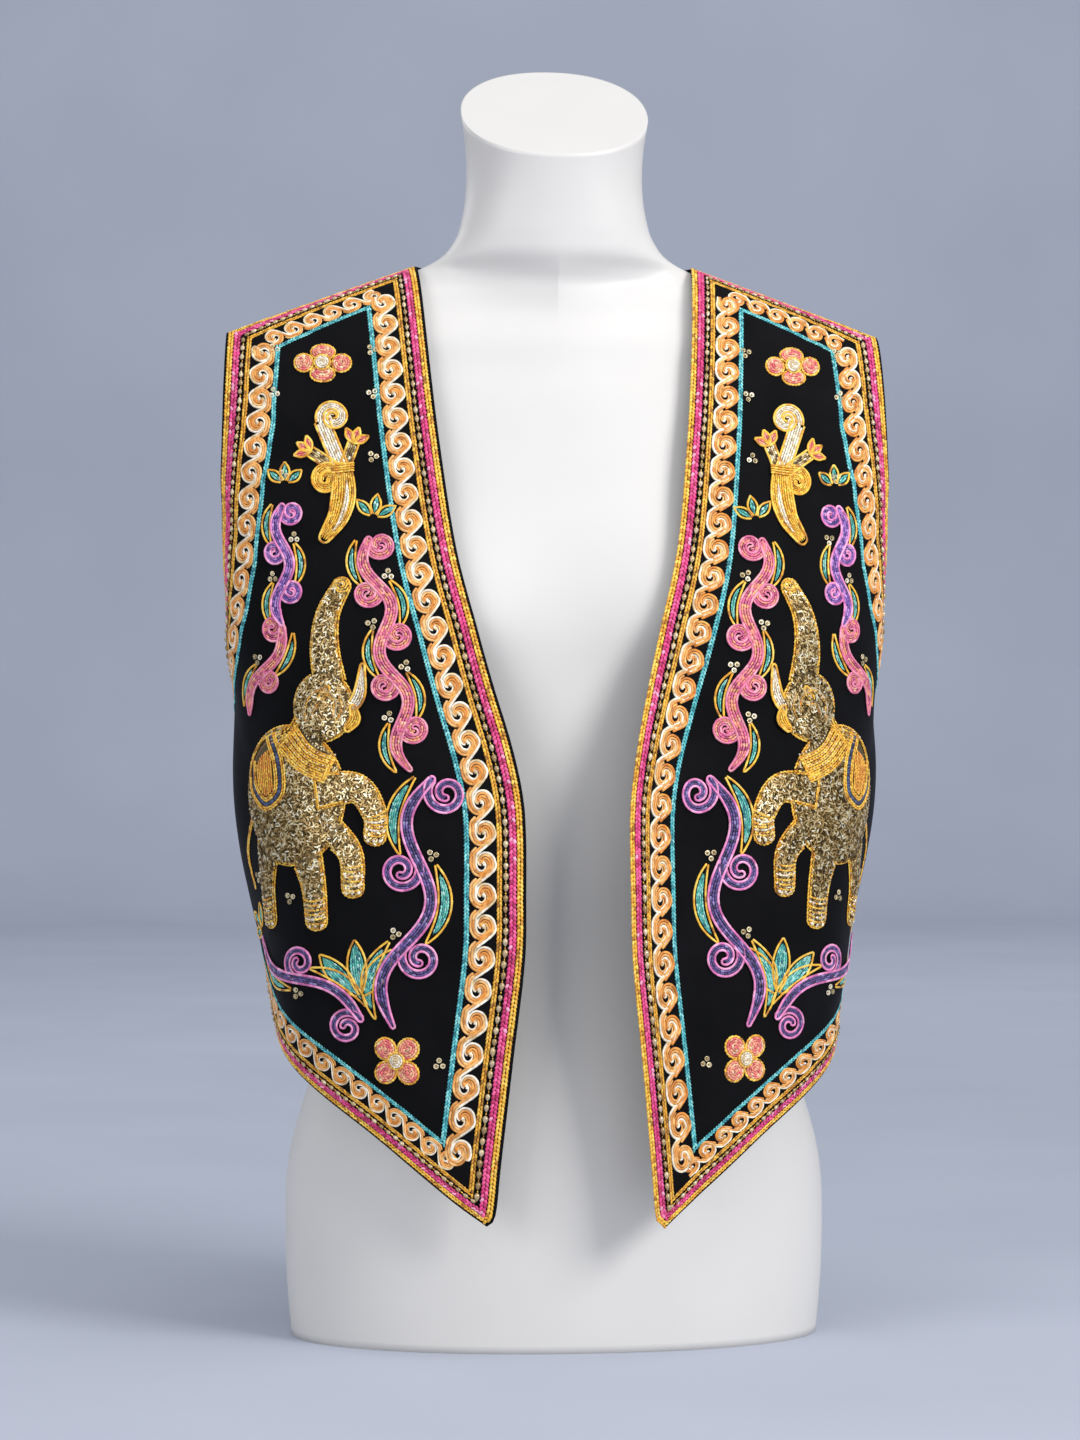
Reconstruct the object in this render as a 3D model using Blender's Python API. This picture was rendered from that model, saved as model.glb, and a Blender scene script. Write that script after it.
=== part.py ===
"""An embroidered folk vest standing on a limbless dress form.

Metres, +Z up, the wearer faces -Y. The origin is the middle of the form's flat base.

The cloth is laid out as a flat pattern and then mapped onto a worn shape. A pattern point has
two measures: s, the way round the chest line from centre front to centre back, and h, the way
up the cloth from the chest line. Every piece sewn on a front is drawn in those two measures and
lifted off the same surface, so it follows the cloth.
"""
from math import cos, pi, radians, sin

import bmesh
import bpy
import numpy as np

# Walls, seams and reliefs
WALL = 0.0020          # velvet and its lining
SEAM_GAP = 0.0003      # between pieces that are sewn edge to edge
LAY_GAP = 0.0011       # between a panel and what is couched on it

# The chest line, a ring that is squarer than an ellipse
CHEST_Z = 0.440
RING_HALF_WIDTH = 0.2035
RING_Y = -0.010
RING_FRONT = 0.086
RING_BACK = 0.112
RING_POWER = 2.35
RING_STEPS = 2000

# The shoulder ridge, straight from the neck to the tip
RIDGE_Y = 0.004
NECK_X, NECK_Z = 0.0865, 0.6675
TIP_X, TIP_Z = 0.2055, 0.6246
SHOULDER = 0.127
TIP_S = NECK_X + SHOULDER
PROFILE_STEPS = 40
FRONT_RISE, FRONT_RUN = 0.22, 0.42
BACK_RISE, BACK_RUN = 0.58, 0.60

# Below the chest: the waist draws in and the fronts swing forward
SIDE_DRAW, SIDE_DROP = 0.025, 0.05
WAIST_DRAW, WAIST_TOP, WAIST_DROP = 0.14, 0.08, 0.22
SWING, SWING_DROP = 0.036, 0.30
BUST = {"s": 0.112, "h": -0.005, "out": 0.010, "wide": 0.045, "tall": 0.075}

# Broad soft folds of the cloth: where, how wide and tall, and how far out (+) or in (-)
FOLDS_COLUMNS = ("s", "h", "wide", "tall", "out")
FRONT_FOLDS = (
    (0.205, -0.150, 0.020, 0.085, -0.0028),
    (0.170, -0.230, 0.022, 0.060, 0.0022),
    (0.120, -0.270, 0.022, 0.070, -0.0020),
    (0.232, -0.120, 0.018, 0.070, 0.0025),
)
BACK_FOLDS = (
    (0.355, -0.150, 0.018, 0.085, -0.0026),
    (0.385, -0.110, 0.020, 0.100, 0.0028),
    (0.422, -0.150, 0.020, 0.070, -0.0030),
    (0.465, -0.130, 0.020, 0.090, 0.0026),
)

# How far each front's edge is turned out, and what that takes up in its pattern
SIDES_COLUMNS = ("name", "mirror", "turn", "extra")
SIDES = (
    ("right", -1, 4.0, 0.000),
    ("left", 1, 43.0, 0.006),
)
TURN_HINGE, TURN_EASE = 0.078, 0.027
TURN_TOP, TURN_DROP, TURN_UPPER = 0.04, 0.12, 0.35

# The cut of a front: its edges as (s, h)
TIP = (0.0522, -0.3587)
EDGE_COLUMNS = ("s", "h")
FRONT_EDGE = (
    TIP, (0.0470, -0.352), (0.0435, -0.320), (0.0365, -0.260), (0.0292, -0.200), (0.0282, -0.160),
    (0.0280, -0.125), (0.0298, -0.100), (0.0362, -0.070), (0.0465, -0.035), (0.0558, 0.000),
    (0.0675, 0.050), (0.0762, 0.120), (0.0815, 0.180), (0.0865, None),
)
HEM_EDGE = (
    TIP, (0.0715, -0.3450), (0.1060, -0.3175), (0.1480, -0.2870), (0.1900, -0.2570), (0.2300, -0.2290),
    (None, -0.2030),
)
ARMHOLE_EDGE = (
    (None, -0.0210), (0.2575, -0.0150), (0.2480, -0.0030), (0.2385, 0.0200), (0.2310, 0.0550),
    (0.2245, 0.0940), (0.2192, 0.1270), (TIP_S, None),
)
SIDE_SEAM_BACK = 0.025       # the side seam lies this far behind the widest point
BACK_NECK_DROP = 0.030

# The border: how deep it is along each edge, and its rows as shares of that depth
BORDER_COLUMNS = ("edge", "depth")
BORDER = {"hem": 0.0250, "front": 0.0370, "shoulder": 0.0270, "armhole": 0.0365}
ROWS_COLUMNS = ("name", "start", "end", "height", "colour")
ROWS = (
    ("edge_braid", 0.055, 0.150, 0.0020, "gold"),
    ("magenta_braid", 0.160, 0.275, 0.0020, "magenta"),
    ("inner_braid", 0.385, 0.475, 0.0020, "gold"),
    ("turquoise_cord", 0.915, 1.000, 0.0020, "turquoise"),
)
SCROLL_BAND = {"start": 0.510, "end": 0.880, "neck": 0.28, "shrink": 0.11, "height": 0.0020}
SCROLL_PITCH = {"hem": 0.0140, "front": 0.0182, "shoulder": 0.0162, "armhole": 0.0172}
ROW_STEP = 0.0125
ROW_CROWD = 1.25


def smooth(x):
    x = np.clip(x, 0, 1)
    return x * x * (3 - 2 * x)


# ---------------------------------------------------------------- the worn shape of the cloth

def half_ring():
    """The chest line from centre front round to centre back: its length so far, x and y."""
    turn = np.linspace(0, pi, 2 * RING_STEPS + 1)
    sine, cosine = np.sin(turn), -np.cos(turn)
    depth = np.where(cosine < 0, RING_FRONT, RING_BACK)
    across = np.abs(sine / RING_HALF_WIDTH) ** RING_POWER
    along = np.abs(cosine / depth) ** RING_POWER
    radius = (across + along) ** (-1 / RING_POWER)
    x, y = radius * sine, radius * cosine
    steps = np.hypot(np.diff(x), np.diff(y))
    return np.concatenate([[0], np.cumsum(steps)]), x, y


RING_S, RING_XS, RING_YS = half_ring()
GIRTH = RING_S[-1]
SEAM_S = float(np.interp(0, RING_YS, RING_S)) + SIDE_SEAM_BACK


def on_ring(s):
    return np.interp(s, RING_S, RING_XS), np.interp(s, RING_S, RING_YS)


def ridge(a):
    """The shoulder ridge's x and z, a measured from the centre line."""
    share = (a - NECK_X) / SHOULDER
    return NECK_X + share * (TIP_X - NECK_X), NECK_Z + share * (TIP_Z - NECK_Z)


def profile(s, back):
    """Above the chest: a Bezier curve up to the ridge. Its y, z and length so far, a row for each s."""
    x_c, y_c = on_ring(s)
    top = ridge(GIRTH - s if back else s)[1][:, None]
    slope = 0.0 if back else 2 * SWING / SWING_DROP
    lean = slope * np.clip(-y_c / RING_FRONT, 0, 1)[:, None]
    rise, run = (BACK_RISE, BACK_RUN) if back else (FRONT_RISE, FRONT_RUN)
    t = np.linspace(0, 1, PROFILE_STEPS + 1)[None, :]
    b0, b1, b2, b3 = (1 - t) ** 3, 3 * t * (1 - t) ** 2, 3 * t * t * (1 - t), t ** 3
    start = y_c[:, None] + RING_Y
    lift = rise * (top - CHEST_Z)
    y = b0 * start + b1 * (start + lean * lift) + b2 * (RIDGE_Y + run * (start - RIDGE_Y)) + b3 * RIDGE_Y
    z = b0 * CHEST_Z + b1 * (CHEST_Z + lift) + (b2 + b3) * top
    steps = np.hypot(np.diff(y), np.diff(z))
    return y, z, np.concatenate([np.zeros_like(start), np.cumsum(steps, axis=1)], axis=1)


def ridge_h(s, back=False):
    """The pattern height of the shoulder ridge at s."""
    return profile(np.atleast_1d(np.asarray(s, float)), back)[2][:, -1]


def drawn_in(drop):
    """The share of the chest girth that is left at a drop below it."""
    return 1 - SIDE_DRAW * smooth(drop / SIDE_DROP) - WAIST_DRAW * smooth((drop - WAIST_TOP) / WAIST_DROP)


def below_chest(s, drop, back):
    k = drawn_in(drop)
    x, y = on_ring(GIRTH - (GIRTH - s) / k) if back else on_ring(s / k)
    swing = SWING * (1 - (1 - np.clip(drop / SWING_DROP, 0, 1)) ** 2) + RING_FRONT * (1 - k)
    return np.stack([k * x, RING_Y + k * y - swing * np.clip(-y / RING_FRONT, 0, 1), CHEST_Z - drop], 1)


def above_chest(s, h, back):
    y, z, length = profile(s, back)
    count = (length < h[:, None]).sum(axis=1).clip(1, PROFILE_STEPS)
    row = np.arange(len(s))
    low, high = length[row, count - 1], length[row, count]
    part = ((h - low) / (high - low)).clip(0, 1)
    x_c = on_ring(s)[0]
    x_s = ridge(GIRTH - s if back else s)[0]
    share = smooth(h / length[:, -1])
    return np.stack([x_c + (x_s - x_c) * share,
                     y[row, count - 1] + part * (y[row, count] - y[row, count - 1]),
                     z[row, count - 1] + part * (z[row, count] - z[row, count - 1])], 1)


def bulge(s, h, wide, tall, out, at_s, at_h):
    return out * np.exp(-((s - at_s) / wide) ** 2 - ((h - at_h) / tall) ** 2)


def turned_out(points, s, h, turn):
    """Turns a front's edge strip out about a soft hinge."""
    reach = np.clip(TURN_HINGE - s, 0, None)
    held = TURN_UPPER + (1 - TURN_UPPER) * smooth((TURN_TOP - h) / TURN_DROP)
    angle = radians(turn) * held * reach / (reach + TURN_EASE)
    points[:, 0] += reach * (1 - np.cos(angle))
    points[:, 1] -= reach * np.sin(angle)


def cloth(s, h, back=False, turn=0.0):
    """The inner face of the cloth on the wearer's left, at the pattern points."""
    s, h = np.broadcast_arrays(np.asarray(s, float), np.asarray(h, float))
    shape = s.shape
    s, h = s.ravel(), h.ravel()
    points = np.empty((len(s), 3))
    low = h <= 0
    points[low] = below_chest(s[low], -h[low], back)
    points[~low] = above_chest(s[~low], h[~low], back)
    for at_s, at_h, wide, tall, out in BACK_FOLDS if back else FRONT_FOLDS:
        swell = bulge(s, h, wide, tall, out, at_s, at_h)
        x, y = on_ring(s)
        span = np.hypot(x, y)
        points[:, 0] += swell * x / span
        points[:, 1] += swell * y / span
    if not back:
        points[:, 1] -= bulge(s, h, BUST["wide"], BUST["tall"], BUST["out"], BUST["s"], BUST["h"])
        turned_out(points, s, h, turn)
    return points.reshape(shape + (3,))


def lifted(s, h, lift, back=False, turn=0.0, mirror=1):
    """Points that stand off the cloth's inner face by lift."""
    step = 5e-4
    s, h = np.asarray(s, float), np.asarray(h, float)
    across = cloth(s + step, h, back, turn) - cloth(s - step, h, back, turn)
    up = cloth(s, h + step, back, turn) - cloth(s, h - step, back, turn)
    out = np.cross(across, up)
    out /= np.linalg.norm(out, axis=-1, keepdims=True)
    points = cloth(s, h, back, turn) + out * np.asarray(lift, float)[..., None]
    return points * (mirror, 1, 1)


# ---------------------------------------------------------------- meshes and materials

COLOURS_COLUMNS = ("name", "red", "green", "blue", "roughness", "metallic")
COLOURS = (
    ("form_white", 0.80, 0.78, 0.75, 0.45, 0.0),
    ("black_velvet", 0.012, 0.011, 0.013, 0.95, 0.0),
    ("gold", 0.80, 0.47, 0.09, 0.55, 0.0),
    ("magenta", 0.58, 0.05, 0.22, 0.70, 0.0),
    ("turquoise", 0.13, 0.50, 0.48, 0.70, 0.0),
    ("scroll_tan", 0.78, 0.40, 0.13, 0.65, 0.0),
    ("bullion", 0.38, 0.29, 0.14, 0.45, 0.4),
    ("rose", 0.62, 0.20, 0.30, 0.70, 0.0),
    ("violet", 0.25, 0.12, 0.36, 0.70, 0.0),
    ("salmon", 0.80, 0.36, 0.24, 0.70, 0.0),
)


def make_materials():
    for name, red, green, blue, roughness, metallic in COLOURS:
        material = bpy.data.materials.new(name)
        material.use_nodes = True
        shader = material.node_tree.nodes["Principled BSDF"]
        shader.inputs["Base Color"].default_value = (red, green, blue, 1)
        shader.inputs["Roughness"].default_value = roughness
        shader.inputs["Metallic"].default_value = metallic
        material.diffuse_color = (red, green, blue, 1)


def add_object(name, bm, colour, collection):
    bmesh.ops.recalc_face_normals(bm, faces=bm.faces)
    mesh = bpy.data.meshes.new(name)
    bm.to_mesh(mesh)
    bm.free()
    mesh.materials.append(bpy.data.materials[colour])
    body = bpy.data.objects.new(name, mesh)
    collection.objects.link(body)
    return body


def sheet(places):
    """A quad grid through places[row, column]."""
    rows, columns = places.shape[:2]
    bm = bmesh.new()
    bmesh.ops.create_grid(bm, x_segments=columns - 1, y_segments=rows - 1, size=0.5)
    bm.verts.ensure_lookup_table()
    for vert, place in zip(bm.verts, places.reshape(-1, 3)):
        vert.co = place
    return bm


def slab(inner, outer):
    """The closed solid between two grids of the same size."""
    bm = sheet(inner)
    order = bm.verts.layers.int.new("order")
    for number, vert in enumerate(bm.verts):
        vert[order] = number
    added = bmesh.ops.extrude_face_region(bm, geom=list(bm.faces))["geom"]
    places = outer.reshape(-1, 3)
    for item in added:
        if isinstance(item, bmesh.types.BMVert):
            item.co = places[item[order]]
    return bm


# ---------------------------------------------------------------- the cut pieces

def edge_points(table, end_s, extra=0.0):
    """An edge's pattern points, with its blank ends filled in: a blank s is the seam, a blank h the ridge."""
    rows = []
    for s, h in table:
        s = end_s if s is None else s
        h = float(ridge_h(s)[0]) - SEAM_GAP / 2 if h is None else h
        if extra:
            held = TURN_UPPER + (1 - TURN_UPPER) * float(smooth((TURN_TOP - h) / TURN_DROP))
            s -= extra * held
        rows.append((s, h))
    return np.array(rows)


def spread(points, count, crowd=1.0, shrink=0.0):
    """Points spread along a polyline, evenly, crowded towards its end or in steadily shrinking steps."""
    steps = np.hypot(*np.diff(points, axis=0).T)
    length = np.concatenate([[0], np.cumsum(steps)])
    share = 1 - np.linspace(1, 0, count) ** crowd
    at = length[-1] * share * (1 + shrink - shrink * share)
    return np.stack([np.interp(at, length, points[:, 0]), np.interp(at, length, points[:, 1])], 1)


def rounded(points, steps=6):
    """A smooth curve through the points."""
    ends = np.vstack([2 * points[0] - points[1], points, 2 * points[-1] - points[-2]])
    t = np.linspace(0, 1, steps, endpoint=False)[:, None]
    parts = []
    for a, b, c, d in zip(ends, ends[1:], ends[2:], ends[3:]):
        bend = (2 * a - 5 * b + 4 * c - d) * t ** 2 + (3 * b - a - 3 * c + d) * t ** 3
        parts.append(0.5 * (2 * b + (c - a) * t + bend))
    return np.vstack(parts + [points[-1:]])


def coons(left, right, bottom, top):
    """Fills the four edges of a piece. left and right run up, bottom and top run from left to right."""
    rows, columns = len(left), len(bottom)
    u = np.linspace(0, 1, columns)[None, :, None]
    v = np.linspace(0, 1, rows)[:, None, None]
    sides = (1 - u) * left[:, None] + u * right[:, None]
    ends = (1 - v) * bottom[None] + v * top[None]
    corners = ((1 - u) * (1 - v) * left[0] + u * (1 - v) * right[0]
               + (1 - u) * v * left[-1] + u * v * right[-1])
    return sides + ends - corners


PANEL_COLUMNS = 16
SEAM_ROWS, ARM_ROWS = 15, 15
BACK_COLUMNS = 21
WAIST_CROWD, RIDGE_CROWD, EDGE_CROWD = 1.25, 1.4, 1.45
SPLIT_H = -0.035             # where a front's edge is level with the underarm


def front_edges(extra):
    end = SEAM_S - SEAM_GAP / 2
    shoulder_s = np.linspace(NECK_X, TIP_S, 12)
    return {
        "hem": rounded(edge_points(HEM_EDGE, end)),
        "front": rounded(edge_points(FRONT_EDGE, end, extra)),
        "shoulder": np.stack([shoulder_s, ridge_h(shoulder_s) - SEAM_GAP / 2], 1),
        "armhole": rounded(edge_points(ARMHOLE_EDGE, end)),
    }


def column_of(lower, upper):
    """One side of a piece from hem to shoulder, its rows closer together towards the shoulder."""
    return np.vstack([spread(lower, SEAM_ROWS, WAIST_CROWD)[:-1], spread(upper, ARM_ROWS, RIDGE_CROWD)])


def make_front(name, mirror, turn, extra, collection):
    edges = front_edges(extra)
    seam = np.array([edges["hem"][-1], edges["armhole"][0]])
    right = column_of(seam, edges["armhole"])
    split = int(np.searchsorted(edges["front"][6:, 1], SPLIT_H)) + 6
    left = column_of(edges["front"][:split + 1], edges["front"][split:])
    bottom = spread(edges["hem"][::-1], PANEL_COLUMNS, EDGE_CROWD)[::-1]
    top = spread(edges["shoulder"][::-1], PANEL_COLUMNS, EDGE_CROWD)[::-1]
    grid = coons(left, right, bottom, top)
    s, h = grid[..., 0], grid[..., 1]
    inner = lifted(s, h, np.zeros_like(s), turn=turn, mirror=mirror)
    outer = lifted(s, h, np.full_like(s, WALL), turn=turn, mirror=mirror)
    return add_object("front_" + name, slab(inner, outer), "black_velvet", collection)


def back_edges():
    """The left half of the back: its side from hem to tip, its hem, and its shoulder and neck."""
    start = SEAM_S + SEAM_GAP / 2
    armhole = rounded(edge_points(ARMHOLE_EDGE, SEAM_S))
    reach = (GIRTH - TIP_S - start) / (SEAM_S - TIP_S)
    armhole[:, 0] = start + (SEAM_S - armhole[:, 0]) * reach
    armhole[-1, 1] = ridge_h(GIRTH - TIP_S, True)[0] - SEAM_GAP / 2
    seam = np.array([(start, HEM_EDGE[-1][1]), (start, ARMHOLE_EDGE[0][1])])
    side = column_of(seam, armhole)
    side[:, 0] += GIRTH * (1 - drawn_in(np.clip(-side[:, 1], 0, None)))
    half = BACK_COLUMNS // 2
    neck_at = (half + 1) * 2 // 3
    shoulder_s = np.linspace(GIRTH - TIP_S, GIRTH - NECK_X, neck_at + 1)
    shoulder = np.stack([shoulder_s, ridge_h(shoulder_s, True) - SEAM_GAP / 2], 1)
    neck_s = np.linspace(GIRTH - NECK_X, GIRTH, half + 1 - neck_at)
    neck = np.stack([neck_s, neck_height(neck_s)], 1)
    hem = np.stack([np.linspace(side[0, 0], GIRTH, half + 1), np.full(half + 1, side[0, 1])], 1)
    return side, hem, np.vstack([shoulder, neck[1:]])


def make_back(collection):
    """One piece from side seam to side seam, drawn as its left half and mirrored."""
    side, hem, top = back_edges()
    rows = (side[:, 1] - side[0, 1]) / (side[-1, 1] - side[0, 1])
    middle = np.stack([np.full(len(side), GIRTH), hem[-1, 1] + rows * (top[-1, 1] - hem[-1, 1])], 1)
    grid = coons(side, middle, hem, top)
    s, h = grid[..., 0], grid[..., 1]
    walls = []
    for lift in (0.0, WALL):
        places = lifted(s, h, np.full_like(s, lift), back=True)
        places[:, -1, 0] = 0
        mirrored = places[:, -2::-1] * (-1, 1, 1)
        walls.append(np.concatenate([places, mirrored], axis=1))
    return add_object("back", slab(*walls), "black_velvet", collection)


def neck_height(s):
    """The back neckline: a scoop between the two neck points."""
    share = np.clip((GIRTH - np.asarray(s, float)) / NECK_X, 0, 1)
    level = ridge_h(GIRTH - NECK_X, True)[0] - SEAM_GAP / 2
    return level - BACK_NECK_DROP * (1 - share ** 2) ** 0.5


# ---------------------------------------------------------------- the border

def inset(points, depth):
    """A polyline moved to its left by depth."""
    way = np.gradient(points, axis=0)
    way /= np.linalg.norm(way, axis=1, keepdims=True)
    return points + np.stack([-way[:, 1], way[:, 0]], 1) * depth


def crossing(first, second):
    """Where two polylines cross: the segment and share on each."""
    for i, (a, b) in enumerate(zip(first, first[1:])):
        for j, (c, d) in enumerate(zip(second, second[1:])):
            r, q = b - a, d - c
            area = r[0] * q[1] - r[1] * q[0]
            if abs(area) < 1e-14:
                continue
            t = ((c - a)[0] * q[1] - (c - a)[1] * q[0]) / area
            w = ((c - a)[0] * r[1] - (c - a)[1] * r[0]) / area
            if -1e-9 <= t <= 1 + 1e-9 and -1e-9 <= w <= 1 + 1e-9:
                return i, j, a + t * r
    return None


def stretched(points, length):
    """The polyline with both ends run on straight."""
    start = points[0] - (points[1] - points[0]) / np.linalg.norm(points[1] - points[0]) * length
    end = points[-1] + (points[-1] - points[-2]) / np.linalg.norm(points[-1] - points[-2]) * length
    return np.vstack([start, points, end])


def border_line(edges, share):
    """The line that runs a share of the border's depth inside the hem, front edge, shoulder and armhole."""
    runs = [edges["hem"][::-1], edges["front"], edges["shoulder"], edges["armhole"][::-1]]
    names = ("hem", "front", "shoulder", "armhole")
    limit = SEAM_S - SEAM_GAP / 2
    lines = [stretched(inset(run, -BORDER[name] * share), 0.012) for run, name in zip(runs, names)]
    corners = []
    for number in range(3):
        i, j, point = crossing(lines[number], lines[number + 1])
        lines[number] = np.vstack([lines[number][:i + 1], point])
        lines[number + 1] = np.vstack([point, lines[number + 1][j + 1:]])
        corners.append(point)
    lines[0] = cut_at(lines[0][::-1], limit)[::-1]
    lines[3] = cut_at(lines[3], limit)
    return lines


def cut_at(points, limit):
    """The polyline up to where it first passes s = limit."""
    for i in range(1, len(points)):
        if points[i, 0] > limit:
            share = (limit - points[i - 1, 0]) / (points[i, 0] - points[i - 1, 0])
            return np.vstack([points[:i], points[i - 1] + share * (points[i] - points[i - 1])])
    return points


def row_stations(lines, counts, crowd=1.0, shrink=0.0):
    """Points along the border's four runs, as many whatever the share, crowded or shrinking towards the ridge."""
    hem, front, shoulder, armhole = lines
    runs = (
        spread(hem, counts[0]),
        spread(front, counts[1], crowd, shrink),
        spread(shoulder, counts[2]),
        spread(armhole[::-1], counts[3], crowd, shrink)[::-1],
    )
    return np.vstack([run[:-1] for run in runs] + [runs[-1][-1:]])


def run_lengths(edges):
    return [np.hypot(*np.diff(line, axis=0).T).sum() for line in border_line(edges, 0.6)]


def ridge_strip(first, second, height, mirror, turn):
    """A raised strip between two lines: flat below, with a crest along its middle."""
    base = np.full(len(first), WALL + LAY_GAP)
    low = [lifted(line[:, 0], line[:, 1], base, turn=turn, mirror=mirror) for line in (first, second)]
    middle = (first + second) / 2
    crest = lifted(middle[:, 0], middle[:, 1], base + height, turn=turn, mirror=mirror)
    bm = sheet(np.stack([low[0], low[1], crest, low[0]]))
    bmesh.ops.remove_doubles(bm, verts=bm.verts, dist=1e-6)
    bmesh.ops.holes_fill(bm, edges=[edge for edge in bm.edges if edge.is_boundary], sides=4)
    return bm


def make_braids(name, mirror, turn, edges, collection):
    """The braids and the cord, each one strip that follows all four edges."""
    counts = [int(length / ROW_STEP) + 2 for length in run_lengths(edges)]
    for row, start, end, height, colour in ROWS:
        outer = row_stations(border_line(edges, start), counts, ROW_CROWD)
        inner = row_stations(border_line(edges, end), counts, ROW_CROWD)
        bm = ridge_strip(outer, inner, height, mirror, turn)
        add_object(row + "_" + name, bm, colour, collection)


def make_scroll_band(name, mirror, turn, edges, collection):
    """The band of couched scrolls, as one strip that swells at each scroll."""
    counts = [3 * round(length / pitch) + 1 for length, pitch in zip(run_lengths(edges), SCROLL_PITCH.values())]
    outer = row_stations(border_line(edges, SCROLL_BAND["start"]), counts, shrink=SCROLL_BAND["shrink"])
    inner = row_stations(border_line(edges, SCROLL_BAND["end"]), counts, shrink=SCROLL_BAND["shrink"])
    swell = SCROLL_BAND["neck"] + (1 - SCROLL_BAND["neck"]) * np.abs(np.sin(np.arange(len(outer)) * pi / 3))
    middle, half = (outer + inner) / 2, (outer - inner) / 2 * swell[:, None]
    bm = ridge_strip(middle + half, middle - half, SCROLL_BAND["height"], mirror, turn)
    add_object("scroll_band_" + name, bm, "scroll_tan", collection)


# ---------------------------------------------------------------- the appliques

PAD_CELL = 0.016             # pads are cut on this lattice so that they follow the cloth
PAD_RISE = 0.35              # how much higher a pad's middle is than its edge
FLAT = 0.01                  # the pads' depth before they are laid on the cloth

# A rearing elephant with its trunk up, in its own units from its middle, +x the way it faces
ELEPHANT = {"s": 0.172, "h": -0.122, "scale": 0.00112, "height": 0.0024, "lay": 0.0010}
OVAL_COLUMNS = ("x", "y", "half_wide", "half_tall", "points")
BODY = (0, 18, 32, 38, 16)
HEAD = (20, 66, 17, 19, 12)
LIMB_COLUMNS = ("x", "y", "half_width")
LIMBS = (
    ((24, 78, 9), (21, 98, 8), (23, 116, 6.5), (31, 132, 5)),
    ((16, 20, 10), (38, 22, 8), (48, 8, 6.5), (48, -4, 6)),
    ((18, 4, 9), (34, -12, 7), (36, -32, 6)),
    ((8, -8, 10), (14, -30, 7), (16, -50, 6)),
    ((-16, -6, 10), (-18, -30, 7), (-16, -50, 6)),
    ((-30, 6, 2), (-38, -14, 2), (-34, -34, 2)),
)

# Four-lobed flowers, one below the shoulder and one above the hem
FLOWERS_COLUMNS = ("name", "s", "h", "turn")
FLOWERS = (
    ("upper", 0.1500, 0.1708, 0.0),
    ("lower", 0.1060, -0.2605, 45.0),
)
# A flower's petals by turns, from its centre: how far the petal's middle is, and the petal's half length and half width
PETALS_COLUMNS = ("reach", "long", "wide")
PETALS = {
    "upper": ((0.0122, 0.0068, 0.0068), (0.0076, 0.0060, 0.0084)),
    "lower": ((0.0100, 0.0074, 0.0070), (0.0100, 0.0074, 0.0070)),
}
PETAL = {"points": 8, "heart": 0.0062, "twist": 0.2, "height": 0.0018, "lay": 0.0006}


def limb_outline(rows):
    """The outline of a tapering limb along a bent centre line."""
    rows = np.asarray(rows, float)
    way = np.gradient(rows[:, :2], axis=0)
    way /= np.linalg.norm(way, axis=1, keepdims=True)
    side = np.stack([-way[:, 1], way[:, 0]], 1) * rows[:, 2:]
    tip = rows[-1:, :2] + way[-1:] * rows[-1, 2] * 0.6
    return np.vstack([rows[:, :2] + side, tip, (rows[:, :2] - side)[::-1]])


def oval(x, y, half_wide, half_tall, points):
    """An oval outline."""
    angle = np.linspace(0, 2 * pi, points, endpoint=False)
    return np.stack([x + half_wide * np.cos(angle), y + half_tall * np.sin(angle)], 1)


def elephant_outlines():
    outlines = [oval(*BODY), oval(*HEAD)] + [limb_outline(rows) for rows in LIMBS]
    middle = np.array([ELEPHANT["s"], ELEPHANT["h"]])
    return [middle + outline * (-ELEPHANT["scale"], ELEPHANT["scale"]) for outline in outlines]


def petal_outlines(s, h, turn, petals):
    """The outlines of a flower's round heart and its four petals."""
    angle = np.linspace(0, 2 * pi, PETAL["points"], endpoint=False)
    turned = angle + radians(turn) + PETAL["twist"]
    outlines = [np.stack([s + PETAL["heart"] * np.cos(turned), h + PETAL["heart"] * np.sin(turned)], 1)]
    for quarter in range(4):
        way = radians(turn) + quarter * pi / 2
        reach, long, wide = petals[quarter % 2]
        along = reach + long * np.cos(angle)
        across = wide * np.sin(angle)
        outlines.append(np.stack([s + along * cos(way) - across * sin(way),
                                  h + along * sin(way) + across * cos(way)], 1))
    return outlines


def prism(outline, collection):
    bm = bmesh.new()
    ring = [bm.verts.new((s, h, 0)) for s, h in outline]
    added = bmesh.ops.extrude_face_region(bm, geom=[bm.faces.new(ring)])["geom"]
    bmesh.ops.translate(bm, verts=[item for item in added if isinstance(item, bmesh.types.BMVert)], vec=(0, 0, FLAT))
    bmesh.ops.recalc_face_normals(bm, faces=bm.faces)
    mesh = bpy.data.meshes.new("prism")
    bm.to_mesh(mesh)
    bm.free()
    body = bpy.data.objects.new("prism", mesh)
    body.hide_render = True
    collection.objects.link(body)
    return body


def joined(outlines, collection):
    """The union of the outlines as one flat-topped bmesh."""
    bodies = [prism(outline, collection) for outline in outlines]
    for other in bodies[1:]:
        join = bodies[0].modifiers.new("join", "BOOLEAN")
        join.operation = "UNION"
        join.solver = "EXACT"
        join.object = other
    depsgraph = bpy.context.evaluated_depsgraph_get()
    bm = bmesh.new()
    bm.from_object(bodies[0], depsgraph)
    for body in bodies:
        bpy.data.objects.remove(body)
    bmesh.ops.dissolve_limit(bm, angle_limit=radians(1), verts=bm.verts, edges=bm.edges)
    return bm


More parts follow.
